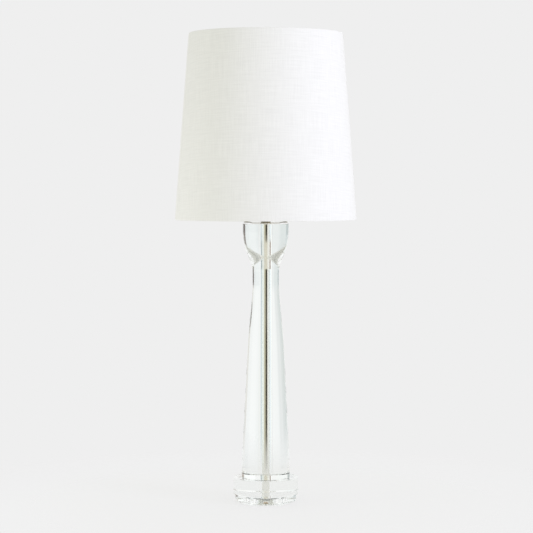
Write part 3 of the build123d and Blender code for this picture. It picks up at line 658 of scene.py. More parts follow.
# ============================================================================ crystal
@dataclass
class Crystal:
    """The column, the disc and the six-sided foot, all solid crystal."""

    segments: int = 240
    row_step: float = 2.0 * MM
    read_spacing: float = 1.6 * MM
    bore: float = 6.6 * MM
    bore_margin: float = 1 * MM
    gap: float = 0.03 * MM
    bowl_height: float = 409.0 * MM
    bowl_polish: float = 0.22 * MM
    bowl_turn: float = 6.0 * MM
    bowl_reach: float = 22.0 * MM
    turned_share: float = 0.8
    seat_segments: int = 96
    roof_within: float = 0.1 * MM
    pads_count: int = 6
    pad_segments: int = 40
    pad_radius: float = 5.0 * MM
    pad_taper: float = 0.17 * MM

    def build(self) -> None:
        """Make the three blocks, the bond and the seat between them, and the clear pads."""
        foot = CRYSTAL.dress(merged_copy("hex_foot", "crystal_foot"))
        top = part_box("hex_foot")[1].z
        corner = max(v.co.x for v in foot.data.vertices if v.co.z > top - FLAT_WITHIN)
        self.foot(foot, top, corner)
        self.bond(corner)
        self.disc(corner)
        self.column()
        self.seat("column_gasket", "column_seat")
        self.pads()

    def column(self) -> None:
        """Turn the column from the rows of its node, with the bore that holds the tube."""
        rows = node_rows("crystal_column", self.bore + self.bore_margin, self.read_spacing)
        flank = [(radius - self.bowl_ease(height), height)
                 for radius, height in refined(rows[1:-2], self.row_step)]
        outline = [(self.bore, rows[0][1]), rows[0], *flank, rows[-2], rows[-1], (self.bore, rows[-1][1])]
        column = CRYSTAL.dress(turned("column", outline, self.segments))
        place_piece(column, "stand", "crystal", "crystal_column")

    def bowl_ease(self, height: float) -> float:
        """What the last polish takes off the bowl at a height, or leaves on under it: under 0.2 mm."""
        rise = height - self.bowl_height
        fade = math.exp(-(rise / self.bowl_reach) ** 2)
        return self.bowl_polish * math.tanh(rise / self.bowl_turn) * fade

    @staticmethod
    def from_flat(spot: Vector) -> float:
        """Cosine of the angle between a point and the middle of the nearest flat of the six-sided foot."""
        return math.cos(math.atan2(spot.y, spot.x) % (math.pi / 3) - math.pi / 6)

    def six_sided(self, piece: bpy.types.Object, heights: Sequence[float], circle: float,
                  corner: float) -> bpy.types.Object:
        """Move one circle of a turned piece out to the foot's six-sided outline.

        Args:
            piece: the turned piece.
            heights: heights at which the circle is moved.
            circle: radius of the circle as turned.
            corner: distance from the axis to the outline's corners, one of which is at +X.

        Returns:
            The same piece.
        """
        flat = corner * math.cos(math.pi / 6)
        for vertex in piece.data.vertices:
            spot = vertex.co
            at_height = any(abs(spot.z - height) < MERGE_DISTANCE for height in heights)
            if at_height and abs(math.hypot(spot.x, spot.y) - circle) < MERGE_DISTANCE:
                spot.xy = spot.xy * (flat / self.from_flat(spot) / circle)
        return piece

    def bonded(self, piece: bpy.types.Object, heights: Sequence[float],
               corner: float) -> bpy.types.Object:
        """Give a piece's flat faces inside the six-sided outline the bond's finish.

        Args:
            piece: the piece.
            heights: heights of the bonded faces.
            corner: distance from the axis to the outline's corners.

        Returns:
            The same piece.
        """
        piece.data.materials.append(BOND.material())
        flat = corner * math.cos(math.pi / 6)
        for face in piece.data.polygons:
            spot = face.center
            at_height = any(abs(spot.z - height) < FLAT_WITHIN for height in heights)
            inside = math.hypot(spot.x, spot.y) * self.from_flat(spot) < flat
            if at_height and inside and abs(face.normal.z) > LEVEL:
                face.material_index = len(piece.data.materials) - 1
        return piece

    def bond(self, corner: float) -> None:
        """Clear film of adhesive that fills the joint between the foot and the disc to the foot's edge."""
        low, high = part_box("foot_gasket")
        circle = corner * self.turned_share
        outline = ring(self.bore, circle, low.z, high.z)
        film = CRYSTAL.dress(turned("bond_film", outline, self.segments))
        self.six_sided(film, (low.z, high.z), circle, corner)
        place_piece(self.bonded(film, (low.z, high.z), corner), "stand", "clear_pad", "foot_gasket")

    def disc(self, corner: float) -> None:
        """Turn the round disc, with two narrow polished bevels and the foot's outline in its underside."""
        rows = node_rows("base_disc", self.bore + self.bore_margin, self.read_spacing)
        circle = corner * self.turned_share
        outline = [(self.bore, rows[0][1]), (circle, rows[0][1]), *rows, (self.bore, rows[-1][1])]
        disc = CRYSTAL.dress(turned("disc", outline, self.segments))
        self.six_sided(disc, (rows[0][1],), circle, corner)
        place_piece(self.bonded(disc, (rows[0][1],), corner), "stand", "crystal", "base_disc")

    def foot(self, foot: bpy.types.Object, top: float, corner: float) -> None:
        """The six-sided foot: bonded on top, polished round about, ground in the roof of its recess.

        Args:
            foot: the copied foot.
            top: height of its top face.
            corner: distance from the axis to its corners.
        """
        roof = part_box("centre_tube")[0].z
        foot.data.materials.append(GROUND.material())
        for face in foot.data.polygons:
            if face.normal.z < DOWNWARD and abs(face.center.z - roof) < self.roof_within:
                face.material_index = 1
        place_piece(self.bonded(foot, (top,), corner), "stand", "crystal", "hex_foot")

    def seat(self, node: str, name: str) -> None:
        """Thin clear washer between two blocks, a hair clear of both faces."""
        low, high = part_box(node)
        outline = ring(self.bore, high.x, low.z + self.gap, high.z - self.gap)
        seat = SEAT_VINYL.dress(turned(name, outline, self.seat_segments))
        place_piece(seat, "stand", "clear_pad", node)

    def pads(self) -> None:
        """Six tapered pads on a circle, by one Geometry Nodes tree."""
        low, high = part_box("foot_pads")
        tree = GeometryTree("pads_on_a_circle")
        count, circle = tree.size("Count", "NodeSocketInt"), tree.size("Circle radius")
        wide, narrow = tree.size("Pad radius"), tree.size("Pad top radius")
        tall = tree.size("Pad height")
        pad = tree.add("GeometryNodeMeshCone", {"Vertices": self.pad_segments, "Side Segments": 2,
                                                "Fill Segments": 2, "Radius Top": narrow,
                                                "Radius Bottom": wide, "Depth": tall})
        spots = tree.add("GeometryNodeMeshCircle", {"Vertices": count, "Radius": circle})
        placed = tree.add("GeometryNodeInstanceOnPoints", {"Points": spots.outputs[0],
                                                           "Instance": pad.outputs["Mesh"]})
        tree.close(placed.outputs[0])
        pads = tree.make("pads", {"Count": self.pads_count, "Circle radius": high.x - self.pad_radius,
                                  "Pad radius": self.pad_radius,
                                  "Pad top radius": self.pad_radius - self.pad_taper,
                                  "Pad height": high.z - low.z - self.gap}, VINYL.material())
        pads.data.transform(Matrix.Translation((0, 0, low.z)))
        place_piece(pads, "stand", "clear_pad", "foot_pads")


# ============================================================================ metal stack
@dataclass
class ClampStack:
    """Nickel tube in the crystal, and the rod, washers and nuts that clamp the lamp."""

    gap: float = 0.04 * MM
    tube_inner: float = 5.2 * MM
    tube_segments: int = 128
    washer_bore: float = 4.9 * MM
    washer_edge: float = 0.25 * MM
    washer_edge_share: float = 0.3
    washer_segments: int = 96
    nodes: tuple[tuple[str, Finish, str], ...] = (
        ("threaded_rod", ZINC, "zinc_steel"), ("lock_washer", ZINC, "zinc_steel"),
        # the top nut's dark brownish colour is painted shade and painted reflection
        ("base_nut", BRASS, "brass"), ("top_nut", NICKEL_PAINTED_DARK, "polished_nickel"),
    )

    def build(self) -> None:
        """Make the tube and the two washers that lie on crystal, and dress the rest."""
        low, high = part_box("centre_tube")
        outline = ring(self.tube_inner, high.x, low.z + self.gap, high.z)
        tube = NICKEL.dress(turned("tube", outline, self.tube_segments))
        place_piece(tube, "stand", "polished_nickel", "centre_tube")
        self.washer("base_washer", "clamp_washer", 0.0, self.gap)
        self.washer("top_washer", "head_washer", self.gap, 0.0)
        for node, finish, slot in self.nodes:
            copy = merged_copy(node, node + "_metal")
            place_piece(finish.dress(copy), "stand", slot, node)

    def washer(self, node: str, name: str, below: float, above: float) -> None:
        """A flat washer with broken edges.

        Args:
            node: the node that it stands for.
            name: name of the new piece.
            below: clearance from crystal under it.
            above: clearance from crystal over it.
        """
        low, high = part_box(node)
        edge = min(self.washer_edge, (high.z - low.z) * self.washer_edge_share)
        corners = ring(self.washer_bore, high.x, low.z + below, high.z - above)
        outline = rounded(corners, [edge, edge], steps=3)
        washer = NICKEL.dress(turned(name, outline, self.washer_segments))
        place_piece(washer, "stand", "zinc_steel", node)


@dataclass
class Wires:
    """Round wire of the shade's frame, the shell's rolled mouth, and the screw threads."""

    sides: int = 14
    ring_steps: int = 180
    arm_radius: float = 1.6 * MM
    arm_start: float = 9.0 * MM
    arm_bend: float = 12.0 * MM
    bend_steps: int = 8
    arm_turn: float = 108.0 * MM
    arms: int = 3
    first_arm_degrees: float = 90.0
    mouth_radius: float = 15.6 * MM
    mouth_roll: float = 0.97 * MM
    mouth_drop: float = 0.9 * MM
    thread_steps: int = 28
    thread_sides: int = 6
    rod_pitch: float = 0.94 * MM
    rod_radius: float = 4.75 * MM
    rod_ridge: float = 0.22 * MM
    rod_end: float = 0.4 * MM
    rod_low_run: float = 5.0 * MM
    rod_high_run: float = 10.0 * MM
    cap_pitch: float = 3.63 * MM
    cap_radius: float = 13.0 * MM
    cap_ridge: float = 0.4 * MM
    cap_below: float = 6.0 * MM
    cap_above: float = 3.0 * MM

    def build(self) -> None:
        """Make the rings, the three arms, the rolled mouth and the threads."""
        along = self.along_path()
        for node, name in (("top_ring", "ring_top"), ("bottom_ring", "ring_bottom")):
            radius, height, thick = self.ring_of(node)
            wire = self.wire(along, name, [self.circle(radius, height)], True, thick, POWDER_COAT)
            place_piece(wire, "shade", "shade_wire", node)
        paths = self.arm_paths(*self.ring_of("top_ring")[:2])
        arms = self.wire(along, "arms", paths, False, self.arm_radius, POWDER_COAT)
        place_piece(arms, "shade", "shade_wire", "shade_spider")
        mouth = self.circle(self.mouth_radius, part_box("socket_shell")[1].z - self.mouth_drop)
        roll = self.wire(along, "lampholder_mouth", [mouth], True, self.mouth_roll, NICKEL)
        place_piece(roll, "stand", "polished_nickel")
        self.threads()

    @staticmethod
    def ring_of(node: str) -> tuple[float, float, float]:
        """Radius, height and wire radius of a ring's node."""
        low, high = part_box(node)
        thick = (high.z - low.z) / 2
        return high.x - thick, low.z + thick, thick

    def circle(self, radius: float, height: float) -> list[Vector]:
        """Points of a level circle about the axis."""
        turns = [2 * math.pi * step / self.ring_steps for step in range(self.ring_steps)]
        return [about_axis(radius, a, height) for a in turns]

    def arm_paths(self, ring_radius: float, ring_height: float) -> list[list[Vector]]:
        """Middle lines of the three arms, flat along the hub and then up to the ring."""
        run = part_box("spider_hub")[1].z
        corners = [(self.arm_start, run), (self.arm_turn, run), (ring_radius, ring_height)]
        line = rounded(corners, [self.arm_bend], self.bend_steps)
        turns = [math.radians(self.first_arm_degrees + 360 * arm / self.arms) for arm in range(self.arms)]
        return [[about_axis(r, a, z) for r, z in line] for a in turns]

    @staticmethod
    def along_path() -> GeometryTree:
        """Tree that draws round wire along the edges of its mesh."""
        tree = GeometryTree("wire_along_path")
        thick, sides = tree.size("Wire radius"), tree.size("Sides", "NodeSocketInt")
        path = tree.add("GeometryNodeMeshToCurve", {"Mesh": tree.source.outputs["Geometry"]})
        section = tree.add("GeometryNodeCurvePrimitiveCircle", {"Resolution": sides, "Radius": thick})
        wire = tree.add("GeometryNodeCurveToMesh", {"Curve": path.outputs[0], "Fill Caps": True,
                                                    "Profile Curve": section.outputs[0]})
        tree.close(wire.outputs[0])
        return tree

    def wire(self, tree: GeometryTree, name: str, paths: Sequence[list[Vector]], closed: bool,
             radius: float, finish: Finish) -> bpy.types.Object:
        """Draw one wire or several as one piece.

        Args:
            tree: the tree that draws wire along edges.
            name: name of the new piece.
            paths: points of each wire's middle line.
            closed: join each wire's ends.
            radius: the wire's radius.
            finish: the wire's finish.

        Returns:
            The new piece.
        """
        bm = bmesh.new()
        for path in paths:
            spots = [bm.verts.new(point) for point in path]
            for one, other in zip(spots, spots[1:] + (spots[:1] if closed else [])):
                bm.edges.new((one, other))
        line = finished_mesh(name + "_line", bm, smooth=False)
        return tree.make(name, {"Wire radius": radius, "Sides": self.sides}, finish.material(), line)

    def threads(self) -> None:
        """Rolled threads on the rod's two ends and on the bulb's cap, by one Geometry Nodes tree."""
        tree = GeometryTree("rolled_thread")
        turns, around = tree.size("Turns"), tree.size("Radius")
        tall, ridge = tree.size("Height"), tree.size("Ridge")
        helix = tree.add("GeometryNodeCurveSpiral", {"Resolution": self.thread_steps, "Rotations": turns,
                                                     "Start Radius": around, "End Radius": around,
                                                     "Height": tall})
        section = tree.add("GeometryNodeCurvePrimitiveCircle", {"Resolution": self.thread_sides,
                                                                "Radius": ridge})
        thread = tree.add("GeometryNodeCurveToMesh", {"Curve": helix.outputs[0], "Fill Caps": True,
                                                      "Profile Curve": section.outputs[0]})
        tree.close(thread.outputs[0])
        rod_low, rod_high = (corner.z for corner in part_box("threaded_rod"))
        cap_low, cap_high = (corner.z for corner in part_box("bulb_cap"))
        rod = (self.rod_pitch, self.rod_radius, self.rod_ridge, ZINC, "stand", "zinc_steel")
        cap = (self.cap_pitch, self.cap_radius, self.cap_ridge, ALUMINIUM, "bulb", "bulb_cap_metal")
        cap_run = cap_high - cap_low - self.cap_below - self.cap_above
        runs = (
            ("rod_thread_low", rod_low + self.rod_end, self.rod_low_run, rod),
            ("rod_thread_high", rod_high - self.rod_end - self.rod_high_run, self.rod_high_run, rod),
            ("bulb_thread", cap_low + self.cap_below, cap_run, cap),
        )
        for name, bottom, height, (pitch, radius, ridge, finish, body, slot) in runs:
            sizes = {"Turns": height / pitch, "Radius": radius, "Height": height, "Ridge": ridge}
            piece = tree.make(name, sizes, finish.material())
            piece.data.transform(Matrix.Translation((0, 0, bottom)))
            place_piece(piece, body, slot)


@dataclass
class CarriedOver:
    """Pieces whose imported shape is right: the mesh is joined, shaded smooth and given its finish."""

    pieces: tuple[tuple[str, str, str, Finish, str], ...] = (
        ("harp_saddle", "saddle", "stand", NICKEL_WIRE, "polished_nickel"),
        ("harp", "harp_wire", "harp", NICKEL_WIRE, "polished_nickel"),
        ("ferrule_left", "sleeve_left", "ferrule_left", NICKEL, "polished_nickel"),
        ("ferrule_right", "sleeve_right", "ferrule_right", NICKEL, "polished_nickel"),
        ("socket_cap", "lampholder_cap", "stand", NICKEL, "polished_nickel"),
        ("socket_shell", "lampholder_shell", "stand", NICKEL, "polished_nickel"),
        ("socket_liner", "lampholder_paper", "stand", FIBRE_PAPER, "insulating_paper"),
        ("socket_body", "lampholder_block", "stand", PHENOLIC, "phenolic"),
        ("screw_shell", "lampholder_screw", "stand", BRASS, "brass"),
        ("centre_contact", "contact_tongue", "stand", BRASS, "brass"),
        ("terminal_screws", "terminals", "stand", BRASS, "brass"),
        ("switch_stem", "knob_stem", "switch", NICKEL, "switch_stem_metal"),
        ("switch_knob", "knob", "switch", KNOB_BLACK, "switch_black"),
        ("bulb_glass", "bulb_envelope", "bulb", COATED_BULB, "bulb_frosted"),
        ("bulb_cap", "bulb_screw", "bulb", ALUMINIUM, "bulb_cap_metal"),
        ("bulb_contact", "bulb_button", "bulb", SOLDER, "bulb_cap_metal"),
        ("spider_hub", "hub_washer", "shade", POWDER_COAT, "shade_wire"),
        ("finial_neck", "finial_stem", "finial", NICKEL, "polished_nickel"),
        ("finial_ball", "finial_knob", "finial", NICKEL, "polished_nickel"),
    )

    def build(self) -> None:
        """Copy, dress and place each of them."""
        for node, name, body, finish, slot in self.pieces:
            place_piece(finish.dress(merged_copy(node, name)), body, slot, node)


# ============================================================================ shade
@dataclass
class LinenShade:
    """Linen on a stiff white backing, its edges turned in over wire rings."""

    segments: int = 288
    rows: int = 48
    top_radius: float = 129.0 * MM
    backing_depth: float = 1.5 * MM
    cloth_thickness: float = 0.45 * MM
    fold_radius: float = 1.1 * MM
    hem_width: float = 12.0 * MM
    ring_reach: float = 4.6 * MM
    ring_drop: float = 4.0 * MM
    lap_width: float = 9.0 * MM
    lap_edge: float = 0.35 * MM
    long_run: float = 100.0 * MM
    low: Vector = field(init=False)
    high: Vector = field(init=False)

    def __post_init__(self) -> None:
        """Read the shade's size from the frame."""
        self.low, self.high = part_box("shade_linen")

    @property
    def bottom_radius(self) -> float:
        """Outer radius at the lower rim."""
        return self.high.x

    @property
    def slope(self) -> float:
        """Loss of radius for each metre of height."""
        return (self.bottom_radius - self.top_radius) / (self.high.z - self.low.z)

    def radius(self, height: float) -> float:
        """Outer radius of the cone at a height."""
        return self.bottom_radius - self.slope * (height - self.low.z)

    def build(self) -> None:
        """Make the cloth and the backing."""
        cloth = self.cloth()
        LINEN.dress(cloth)
        place_piece(cloth, "shade", "linen", "shade_linen", "top_hem", "bottom_hem")
        backing = merged_copy("shade_liner", "backing")
        place_piece(STYRENE.dress(backing), "shade", "shade_backing", "shade_liner")
        self.flat_size()
        self.flat_area()

    def apex_distance(self, height: float) -> float:
        """Distance along the cone from its apex to a height."""
        lean = math.sqrt(1 + self.slope ** 2)
        return self.radius(height) / self.slope * lean

    @property
    def flat_ring(self) -> tuple[float, float, float]:
        """Outer radius, inner radius and half angle of the flat cloth, hems included: part of a ring."""
        outer = self.apex_distance(self.low.z) + self.hem_width
        inner = self.apex_distance(self.high.z) - self.hem_width
        return outer, inner, math.pi * self.bottom_radius / self.apex_distance(self.low.z)

    def flat_size(self) -> tuple[float, float]:
        """Width and length of the rectangle that the flat cloth is cut from."""
        outer, inner, half = self.flat_ring
        return 2 * outer * math.sin(half), outer - inner * math.cos(half)

    def flat_area(self) -> float:
        """Area of the flat cloth, hems included."""
        outer, inner, half = self.flat_ring
        return half * (outer ** 2 - inner ** 2)

    def cloth_path(self) -> list[Point]:
        """Middle line of the cloth, from the inner end of the top hem to that of the bottom hem."""
        half = self.cloth_thickness / 2
        top, bottom = self.high.z - half, self.low.z + half

        def inside(height: float, depth: float) -> Point:
            """A point that far in from the cone's outside."""
            return self.radius(height) - depth, height

        lining = self.backing_depth + half
        corners = [
            inside(self.high.z - self.hem_width, lining),
            inside(self.high.z - self.ring_drop, self.ring_reach),
            inside(top, self.ring_reach),
            inside(top, half),
            inside(bottom, half),
            inside(bottom, self.ring_reach),
            inside(self.low.z + self.ring_drop, self.ring_reach),
            inside(self.low.z + self.hem_width, lining),
        ]
        return rounded(corners, [self.fold_radius] * 6)

    def cloth(self) -> bpy.types.Object:
        """Turn the cloth's line, with a lap at the back seam, flat coordinates and a thickness."""
        path = self.cloth_path()
        lengths = [0.0]
        for before, after in zip(path, path[1:]):
            lengths.append(lengths[-1] + math.dist(before, after))
        outside = max(range(len(path) - 1), key=lambda at: lengths[at + 1] - lengths[at])
        along = self.apex_distance(path[outside][1]) - lengths[outside]
        bm = bmesh.new()
        layer = bm.loops.layers.uv.new("cloth")
        rows = self.spread(path, lengths)
        turns = [-math.pi + 2 * math.pi * step / self.segments for step in range(self.segments + 1)]
        lap = math.pi - self.lap_width / self.bottom_radius
        turns = sorted({*turns, lap, lap - self.lap_edge / self.bottom_radius})
        steps = len(turns) - 1
        grid = []
        for r, z, run in rows:
            outside_run = lengths[outside] <= run <= lengths[outside + 1]
            spots = []
            for a in turns[:-1]:
                reach = r + (self.cloth_thickness if outside_run and a >= lap - SAME_ANGLE else 0.0)
                spots.append(bm.verts.new((reach * math.sin(a), -reach * math.cos(a), z)))
            grid.append(spots)
        share = self.bottom_radius / self.apex_distance(self.low.z)
        for at in range(len(rows) - 1):
            for step in range(steps):
                ahead = (step + 1) % steps
                face = bm.faces.new((grid[at][step], grid[at][ahead],
                                     grid[at + 1][ahead], grid[at + 1][step]))
                spots = ((at, step), (at, step + 1), (at + 1, step + 1), (at + 1, step))
                for loop, (row, turn) in zip(face.loops, spots):
                    reach, angle = along + rows[row][2], turns[turn] * share
                    loop[layer].uv = (reach * math.sin(angle), -reach * math.cos(angle))
        piece = finished_mesh("cloth", bm)
        thick = piece.modifiers.new("thickness", "SOLIDIFY")
        thick.thickness, thick.offset = self.cloth_thickness, 0.0
        mesh = bpy.data.meshes.new_from_object(piece.evaluated_get(bpy.context.evaluated_depsgraph_get()))
        piece.modifiers.clear()
        piece.data = mesh
        return piece

    def spread(self, path: Sequence[Point], lengths: Sequence[float]) -> list[tuple[float, float, float]]:
        """Put rows into the long run of the cloth's line.

        Args:
            path: the line's points.
            lengths: distance along the line at each point.

        Returns:
            (radius, height, distance along) for each row.
        """
        rows = []
        for at in range(len(path) - 1):
            spans = self.rows if lengths[at + 1] - lengths[at] > self.long_run else 1
            for step in range(spans):
                t = step / spans
                rows.append(tuple(path[at][axis] * (1 - t) + path[at + 1][axis] * t for axis in (0, 1))
                            + (lengths[at] * (1 - t) + lengths[at + 1] * t,))
        return rows + [(*path[-1], lengths[-1])]


# ============================================================================ studio
@dataclass(frozen=True)
class Card:
    """A sector of the studio's surround, by compass angle from the front towards the right."""

    start: float
    end: float
    colour: str


@dataclass(frozen=True)
class CardRows:
    """Rows of cards over each other, from the lowest, with soft joints between them.

    An edge is the rise of the joint over its row, from -1 straight down to 1 straight up, and softness is
    half of the joint's height.
    """

    rows: tuple[tuple[Card, ...], ...]
    edges: tuple[float, ...]
    softness: tuple[float, ...]


# What the nickel mirrors, and what the crystal shows after a reflection inside it.
MIRRORED = CardRows(
    rows=(
        (Card(-180, -162, "#EFEFEF"), Card(-160, -127, "#EEF0EF"), Card(-125, -97, "#DDE1DF"),
         Card(-95, -44, "#EDF2F2"), Card(-36, 34, "#DEDACE"), Card(40, 95, "#F6F6F4"),
         Card(97, 124, "#E2DFDA"), Card(127, 160, "#F8FAF9"), Card(163, 180, "#EFEFEF")),
        (Card(-180, -162, "#EFEFEF"), Card(-160, -127, "#EAECEB"), Card(-125, -97, "#BCC8CC"),
         Card(-95, -44, "#F4FBFC"), Card(-36, -10, "#C6C2AD"), Card(0, 34, "#45423A"),
         Card(39, 62, "#FFFFFF"), Card(66, 124, "#E6EEF1"), Card(127, 160, "#F8F9F7"),
         Card(163, 180, "#EFEFEF")),
        (Card(-180, -162, "#EFEFEF"), Card(-160, -127, "#EEF0EF"), Card(-118, -97, "#8D9A9C"),
         Card(-93, -44, "#EDF2F2"), Card(-36, 34, "#DEDACE"), Card(40, 93, "#F6F6F4"),
         Card(97, 116, "#8C7868"), Card(127, 160, "#F8FAF9"), Card(163, 180, "#EFEFEF")),
    ),
    edges=(-0.187, 0.09),
    softness=(0.004, 0.03),
)
LOW_BEHIND = (
    Card(-180, -176, "#F2F4F4"), Card(-170, -153, "#F7F8F8"), Card(-149, -139, "#E9EBEB"),
    Card(-135, -127, "#DCE0DF"), Card(-124, -103, "#CBD2D2"), Card(-100, -80, "#8E9A9A"),
    Card(-76, 76, "#E9ECEA"), Card(80, 93, "#8F9593"), Card(96, 121, "#DFDCD8"),
    Card(124, 157, "#FAFBFB"), Card(168, 180, "#F2F4F3"),
)
# What the crystal bends into view. The lowest row is the next one with a dark card at the far right, which
# draws the column's dark left outline.
SEEN_THROUGH = CardRows(
    rows=(
        tuple(Card(96, 121, "#51433A") if card.start == 96 else card for card in LOW_BEHIND),
        LOW_BEHIND,
        (Card(-180, -155, "#EDF0F0"), Card(-148, -127, "#E2E7E7"), Card(-125, -94, "#A9B7BC"),
         Card(-90, 88, "#E9ECEA"), Card(91, 124, "#3E1D02"), Card(127, 160, "#F3F6F6"),
         Card(165, 180, "#EDF0F0")),
        (Card(-180, -155, "#EDF0F0"), Card(-148, -127, "#E2E7E7"), Card(-125, -97, "#CFD8DA"),
         Card(-94, 94, "#E9ECEA"), Card(97, 122, "#4A2A12"), Card(127, 160, "#F3F6F6"),
         Card(165, 180, "#EDF0F0")),
    ),
    edges=(-0.224, -0.108, 0.1),
    softness=(0.012, 0.025, 0.02),
)


@dataclass(frozen=True)
class Lamp:
    """A round soft lamp: its place and size in metres, its power in watts and its colour."""

    name: str
    place: tuple[float, float, float]
    size: float
    power: float
    colour: str


@dataclass
class Studio:
    """Pale floor, a surround of pale and dark cards, soft light and the camera."""

    backdrop: str = "#EFEFEF"
    daylight: str = "#E0E0D8"
    overhead: tuple[float, float] = (0.72, 0.86)
    metal_gain: float = 1.12
    lamps: tuple[Lamp, ...] = (
        Lamp("soft_key", (1.88, -1.32, 0.9), 0.9, 21.0, "#E3E3FF"),
        Lamp("soft_fill", (-0.75, -0.2, 0.2), 0.4, 0.9, "#FFFFFF"),
    )
    aim: tuple[float, float, float] = (0.0, 0.0, 0.55)
    camera_place: tuple[float, float, float] = (0.0012, -3.081, 0.5313)
    camera_dip_degrees: float = 1.7517
    camera_shift: float = -0.045
    lens_mm: float = 123.94
    sensor_mm: float = 36.0
    floor_radius: float = 0.62
    floor_fade_from: float = 0.3
    floor_segments: int = 96
    floor_shade_share: float = 0.16
    floor_glow: str = "#F3F3F3"
    # disc under the foot in which the floor glows as painted light
    foot_radius: float = 44 * MM
    foot_softness: float = 2 * MM
    light_bounces: int = 24

    def build(self) -> None:
        """Set the stage, and let light bounce often enough inside the crystal."""
        self.floor()
        self.surround()
        self.light()
        self.camera()
        scene = bpy.context.scene
        scene.view_settings.view_transform = "Standard"
        scene.cycles.max_bounces = self.light_bounces
        scene.cycles.glossy_bounces = self.light_bounces
        scene.cycles.transmission_bounces = self.light_bounces
        scene.cycles.transparent_max_bounces = 4 * self.light_bounces

    def floor(self) -> None:
        """A flat floor that keeps a faint shadow of the lamp and fades into the backdrop.

        Under the clear foot the paper glows for matt surfaces as well as for the eye: a painted pool of
        light, standing in for the light that comes down through the crystal.
        """
        bm = bmesh.new()
        bmesh.ops.create_circle(bm, cap_ends=True, segments=self.floor_segments, radius=self.floor_radius)
        floor = finished_mesh("floor", bm, smooth=False)
        if floor.data.polygons[0].normal.z < 0:
            floor.data.flip_normals()
        material = bpy.data.materials.new("seamless_paper_pale")
        material.use_nodes = True
        tree = material.node_tree
        tree.nodes.clear()
        path = add_node(tree, "ShaderNodeLightPath")
        place = add_node(tree, "ShaderNodeTexCoord").outputs["Object"]
        reach = add_node(tree, "ShaderNodeVectorMath", {0: place}, operation="LENGTH").outputs["Value"]
        # painted light: inside the foot's outline the floor glows for every kind of ray
        under = add_node(tree, "ShaderNodeMapRange",
                         {"Value": reach, "From Min": self.foot_radius + self.foot_softness,
                          "From Max": self.foot_radius - self.foot_softness}).outputs[0]
        lit = under
        for name in ("Is Camera Ray", "Is Glossy Ray", "Is Transmission Ray"):
            lit = add_node(tree, "ShaderNodeMath", {0: lit, 1: path.outputs[name]},
                           operation="MAXIMUM").outputs[0]
        share = add_node(tree, "ShaderNodeMath", {0: lit, 1: 1 - self.floor_shade_share},
                         operation="MULTIPLY").outputs[0]
        matt = add_node(tree, "ShaderNodeBsdfDiffuse", {"Color": linear(self.backdrop)})
        plain = add_node(tree, "ShaderNodeEmission", {"Color": linear(self.floor_glow)})
        paper = add_node(tree, "ShaderNodeMixShader", {0: share, 1: matt.outputs[0], 2: plain.outputs[0]})
        fade = add_node(tree, "ShaderNodeMapRange", {"Value": reach, "From Min": self.floor_fade_from,
                                                     "From Max": self.floor_radius})
        clear = add_node(tree, "ShaderNodeBsdfTransparent")
        mixed = add_node(tree, "ShaderNodeMixShader", {0: fade.outputs[0], 1: paper.outputs[0],
                                                       2: clear.outputs[0]})
        add_node(tree, "ShaderNodeOutputMaterial", {"Surface": mixed.outputs[0]})
        floor.data.materials.append(material)

    @staticmethod
    def ramp(tree: bpy.types.NodeTree, compass: bpy.types.NodeSocket,
             cards: Sequence[Card]) -> bpy.types.NodeSocket:
        """Colours of one row of cards round the compass, with soft joints.

        Args:
            tree: the world's nodes.
            compass: place round the compass, from 0 at the back through 0.5 at the front to 1.
            cards: the cards in order.

        Returns:
            The colour in that direction.
        """
        node = add_node(tree, "ShaderNodeValToRGB", {"Fac": compass})
        stops = [((edge + 180) / 360, linear(card.colour))
                 for card in cards for edge in (card.start, card.end)]
        elements = node.color_ramp.elements
        while len(elements) < len(stops):
            elements.new(0.5)
        for element, (place, _) in zip(elements, stops):
            element.position = place
        for element, (_, colour) in zip(elements, stops):
            element.color = colour
        return node.outputs["Color"]

    @staticmethod
    def layered(tree: bpy.types.NodeTree, colour: Any,
                layers: Iterable[tuple[bpy.types.NodeSocket, Any]]) -> bpy.types.NodeSocket:
        """Lay colours over each other.

        Args:
            tree: the world's nodes.
            colour: the undermost colour.
            layers: share and colour of each layer over it.

        Returns:
            The colour of all of them.
        """
        for share, over in layers:
            colour = add_node(tree, "ShaderNodeMix", {"Factor": share, "A": colour, "B": over},
                              data_type="RGBA").outputs["Result"]
        return colour

    def stacked(self, tree: bpy.types.NodeTree, compass: bpy.types.NodeSocket,
                height: bpy.types.NodeSocket, cards: CardRows) -> bpy.types.NodeSocket:
        """Colour of rows of cards in a direction.

        Args:
            tree: the world's nodes.
            compass: place round the compass.
            height: rise of the direction.
            cards: the rows.

        Returns:
            The colour in that direction.
        """
        layers = []
        for row, edge, soft in zip(cards.rows[1:], cards.edges, cards.softness):
            over = add_node(tree, "ShaderNodeMapRange", {"Value": height, "From Min": edge - soft,
                                                         "From Max": edge + soft}).outputs[0]
            layers.append((over, self.ramp(tree, compass, row)))
        return self.layered(tree, self.ramp(tree, compass, cards.rows[0]), layers)

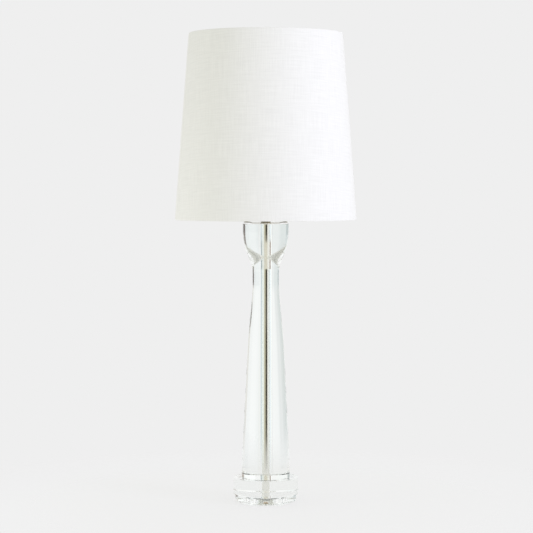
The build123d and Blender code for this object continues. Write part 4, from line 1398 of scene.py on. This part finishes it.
    def surround(self) -> None:
        """The world: flat for the camera, cards for the metal and the crystal, soft light for the rest."""
        world = bpy.data.worlds.new("studio")
        bpy.context.scene.world = world
        world.use_nodes = True
        tree = world.node_tree
        tree.nodes.clear()
        direction = add_node(tree, "ShaderNodeTexCoord").outputs["Generated"]
        axes = add_node(tree, "ShaderNodeSeparateXYZ", {0: direction})
        height = axes.outputs["Z"]
        front = add_node(tree, "ShaderNodeMath", {0: axes.outputs["Y"], 1: -1.0},
                         operation="MULTIPLY").outputs[0]
        angle = add_node(tree, "ShaderNodeMath", {0: axes.outputs["X"], 1: front},
                         operation="ARCTAN2").outputs[0]
        compass = add_node(tree, "ShaderNodeMapRange", {"Value": angle, "From Min": -math.pi,
                                                        "From Max": math.pi}).outputs[0]
        path = add_node(tree, "ShaderNodeLightPath")
        bounced = add_node(tree, "ShaderNodeMath", {0: path.outputs["Glossy Depth"], 1: 0.5},
                           operation="GREATER_THAN").outputs[0]
        above = add_node(tree, "ShaderNodeMapRange", {"Value": height, "From Min": self.overhead[0],
                                                      "From Max": self.overhead[1]}).outputs[0]
        colour = self.layered(tree, self.stacked(tree, compass, height, SEEN_THROUGH), (
            (bounced, self.stacked(tree, compass, height, MIRRORED)),
            (above, linear("#FFFFFF")),
            (path.outputs["Is Diffuse Ray"], linear(self.daylight)),
            (path.outputs["Is Camera Ray"], linear(self.backdrop)),
        ))
        strength = add_node(tree, "ShaderNodeMath", {0: bounced, 1: self.metal_gain - 1, 2: 1.0},
                            operation="MULTIPLY_ADD").outputs[0]
        back = add_node(tree, "ShaderNodeBackground", {"Color": colour, "Strength": strength})
        add_node(tree, "ShaderNodeOutputWorld", {"Surface": back.outputs[0]})

    def light(self) -> None:
        """Wide soft lamps that neither metal nor glass shows."""
        for lamp in self.lamps:
            data = bpy.data.lights.new(lamp.name, "AREA")
            data.shape, data.size, data.energy = "DISK", lamp.size, lamp.power
            data.color = linear(lamp.colour)[:3]
            holder = in_scene(lamp.name, data)
            holder.location = lamp.place
            aim = Vector(self.aim) - holder.location
            holder.rotation_euler = aim.to_track_quat("-Z", "Y").to_euler()
            holder.visible_glossy = holder.visible_transmission = False

    def camera(self) -> None:
        """The camera, level with the lampholder and dipped a little."""
        data = bpy.data.cameras.new("camera")
        data.lens, data.sensor_width, data.shift_y = self.lens_mm, self.sensor_mm, self.camera_shift
        camera = in_scene("camera", data)
        camera.location = self.camera_place
        camera.rotation_euler = (math.radians(90 - self.camera_dip_degrees), 0, 0)
        bpy.context.scene.camera = camera


def main() -> None:
    """Build the lamp piece by piece, then the studio."""
    logging.basicConfig(level=logging.INFO, format="%(message)s")
    for part in (Crystal(), ClampStack(), Wires(), CarriedOver(), LinenShade(), Studio()):
        log.info("building %s", type(part).__name__)
        part.build()


if __name__ == "__main__":
    main()
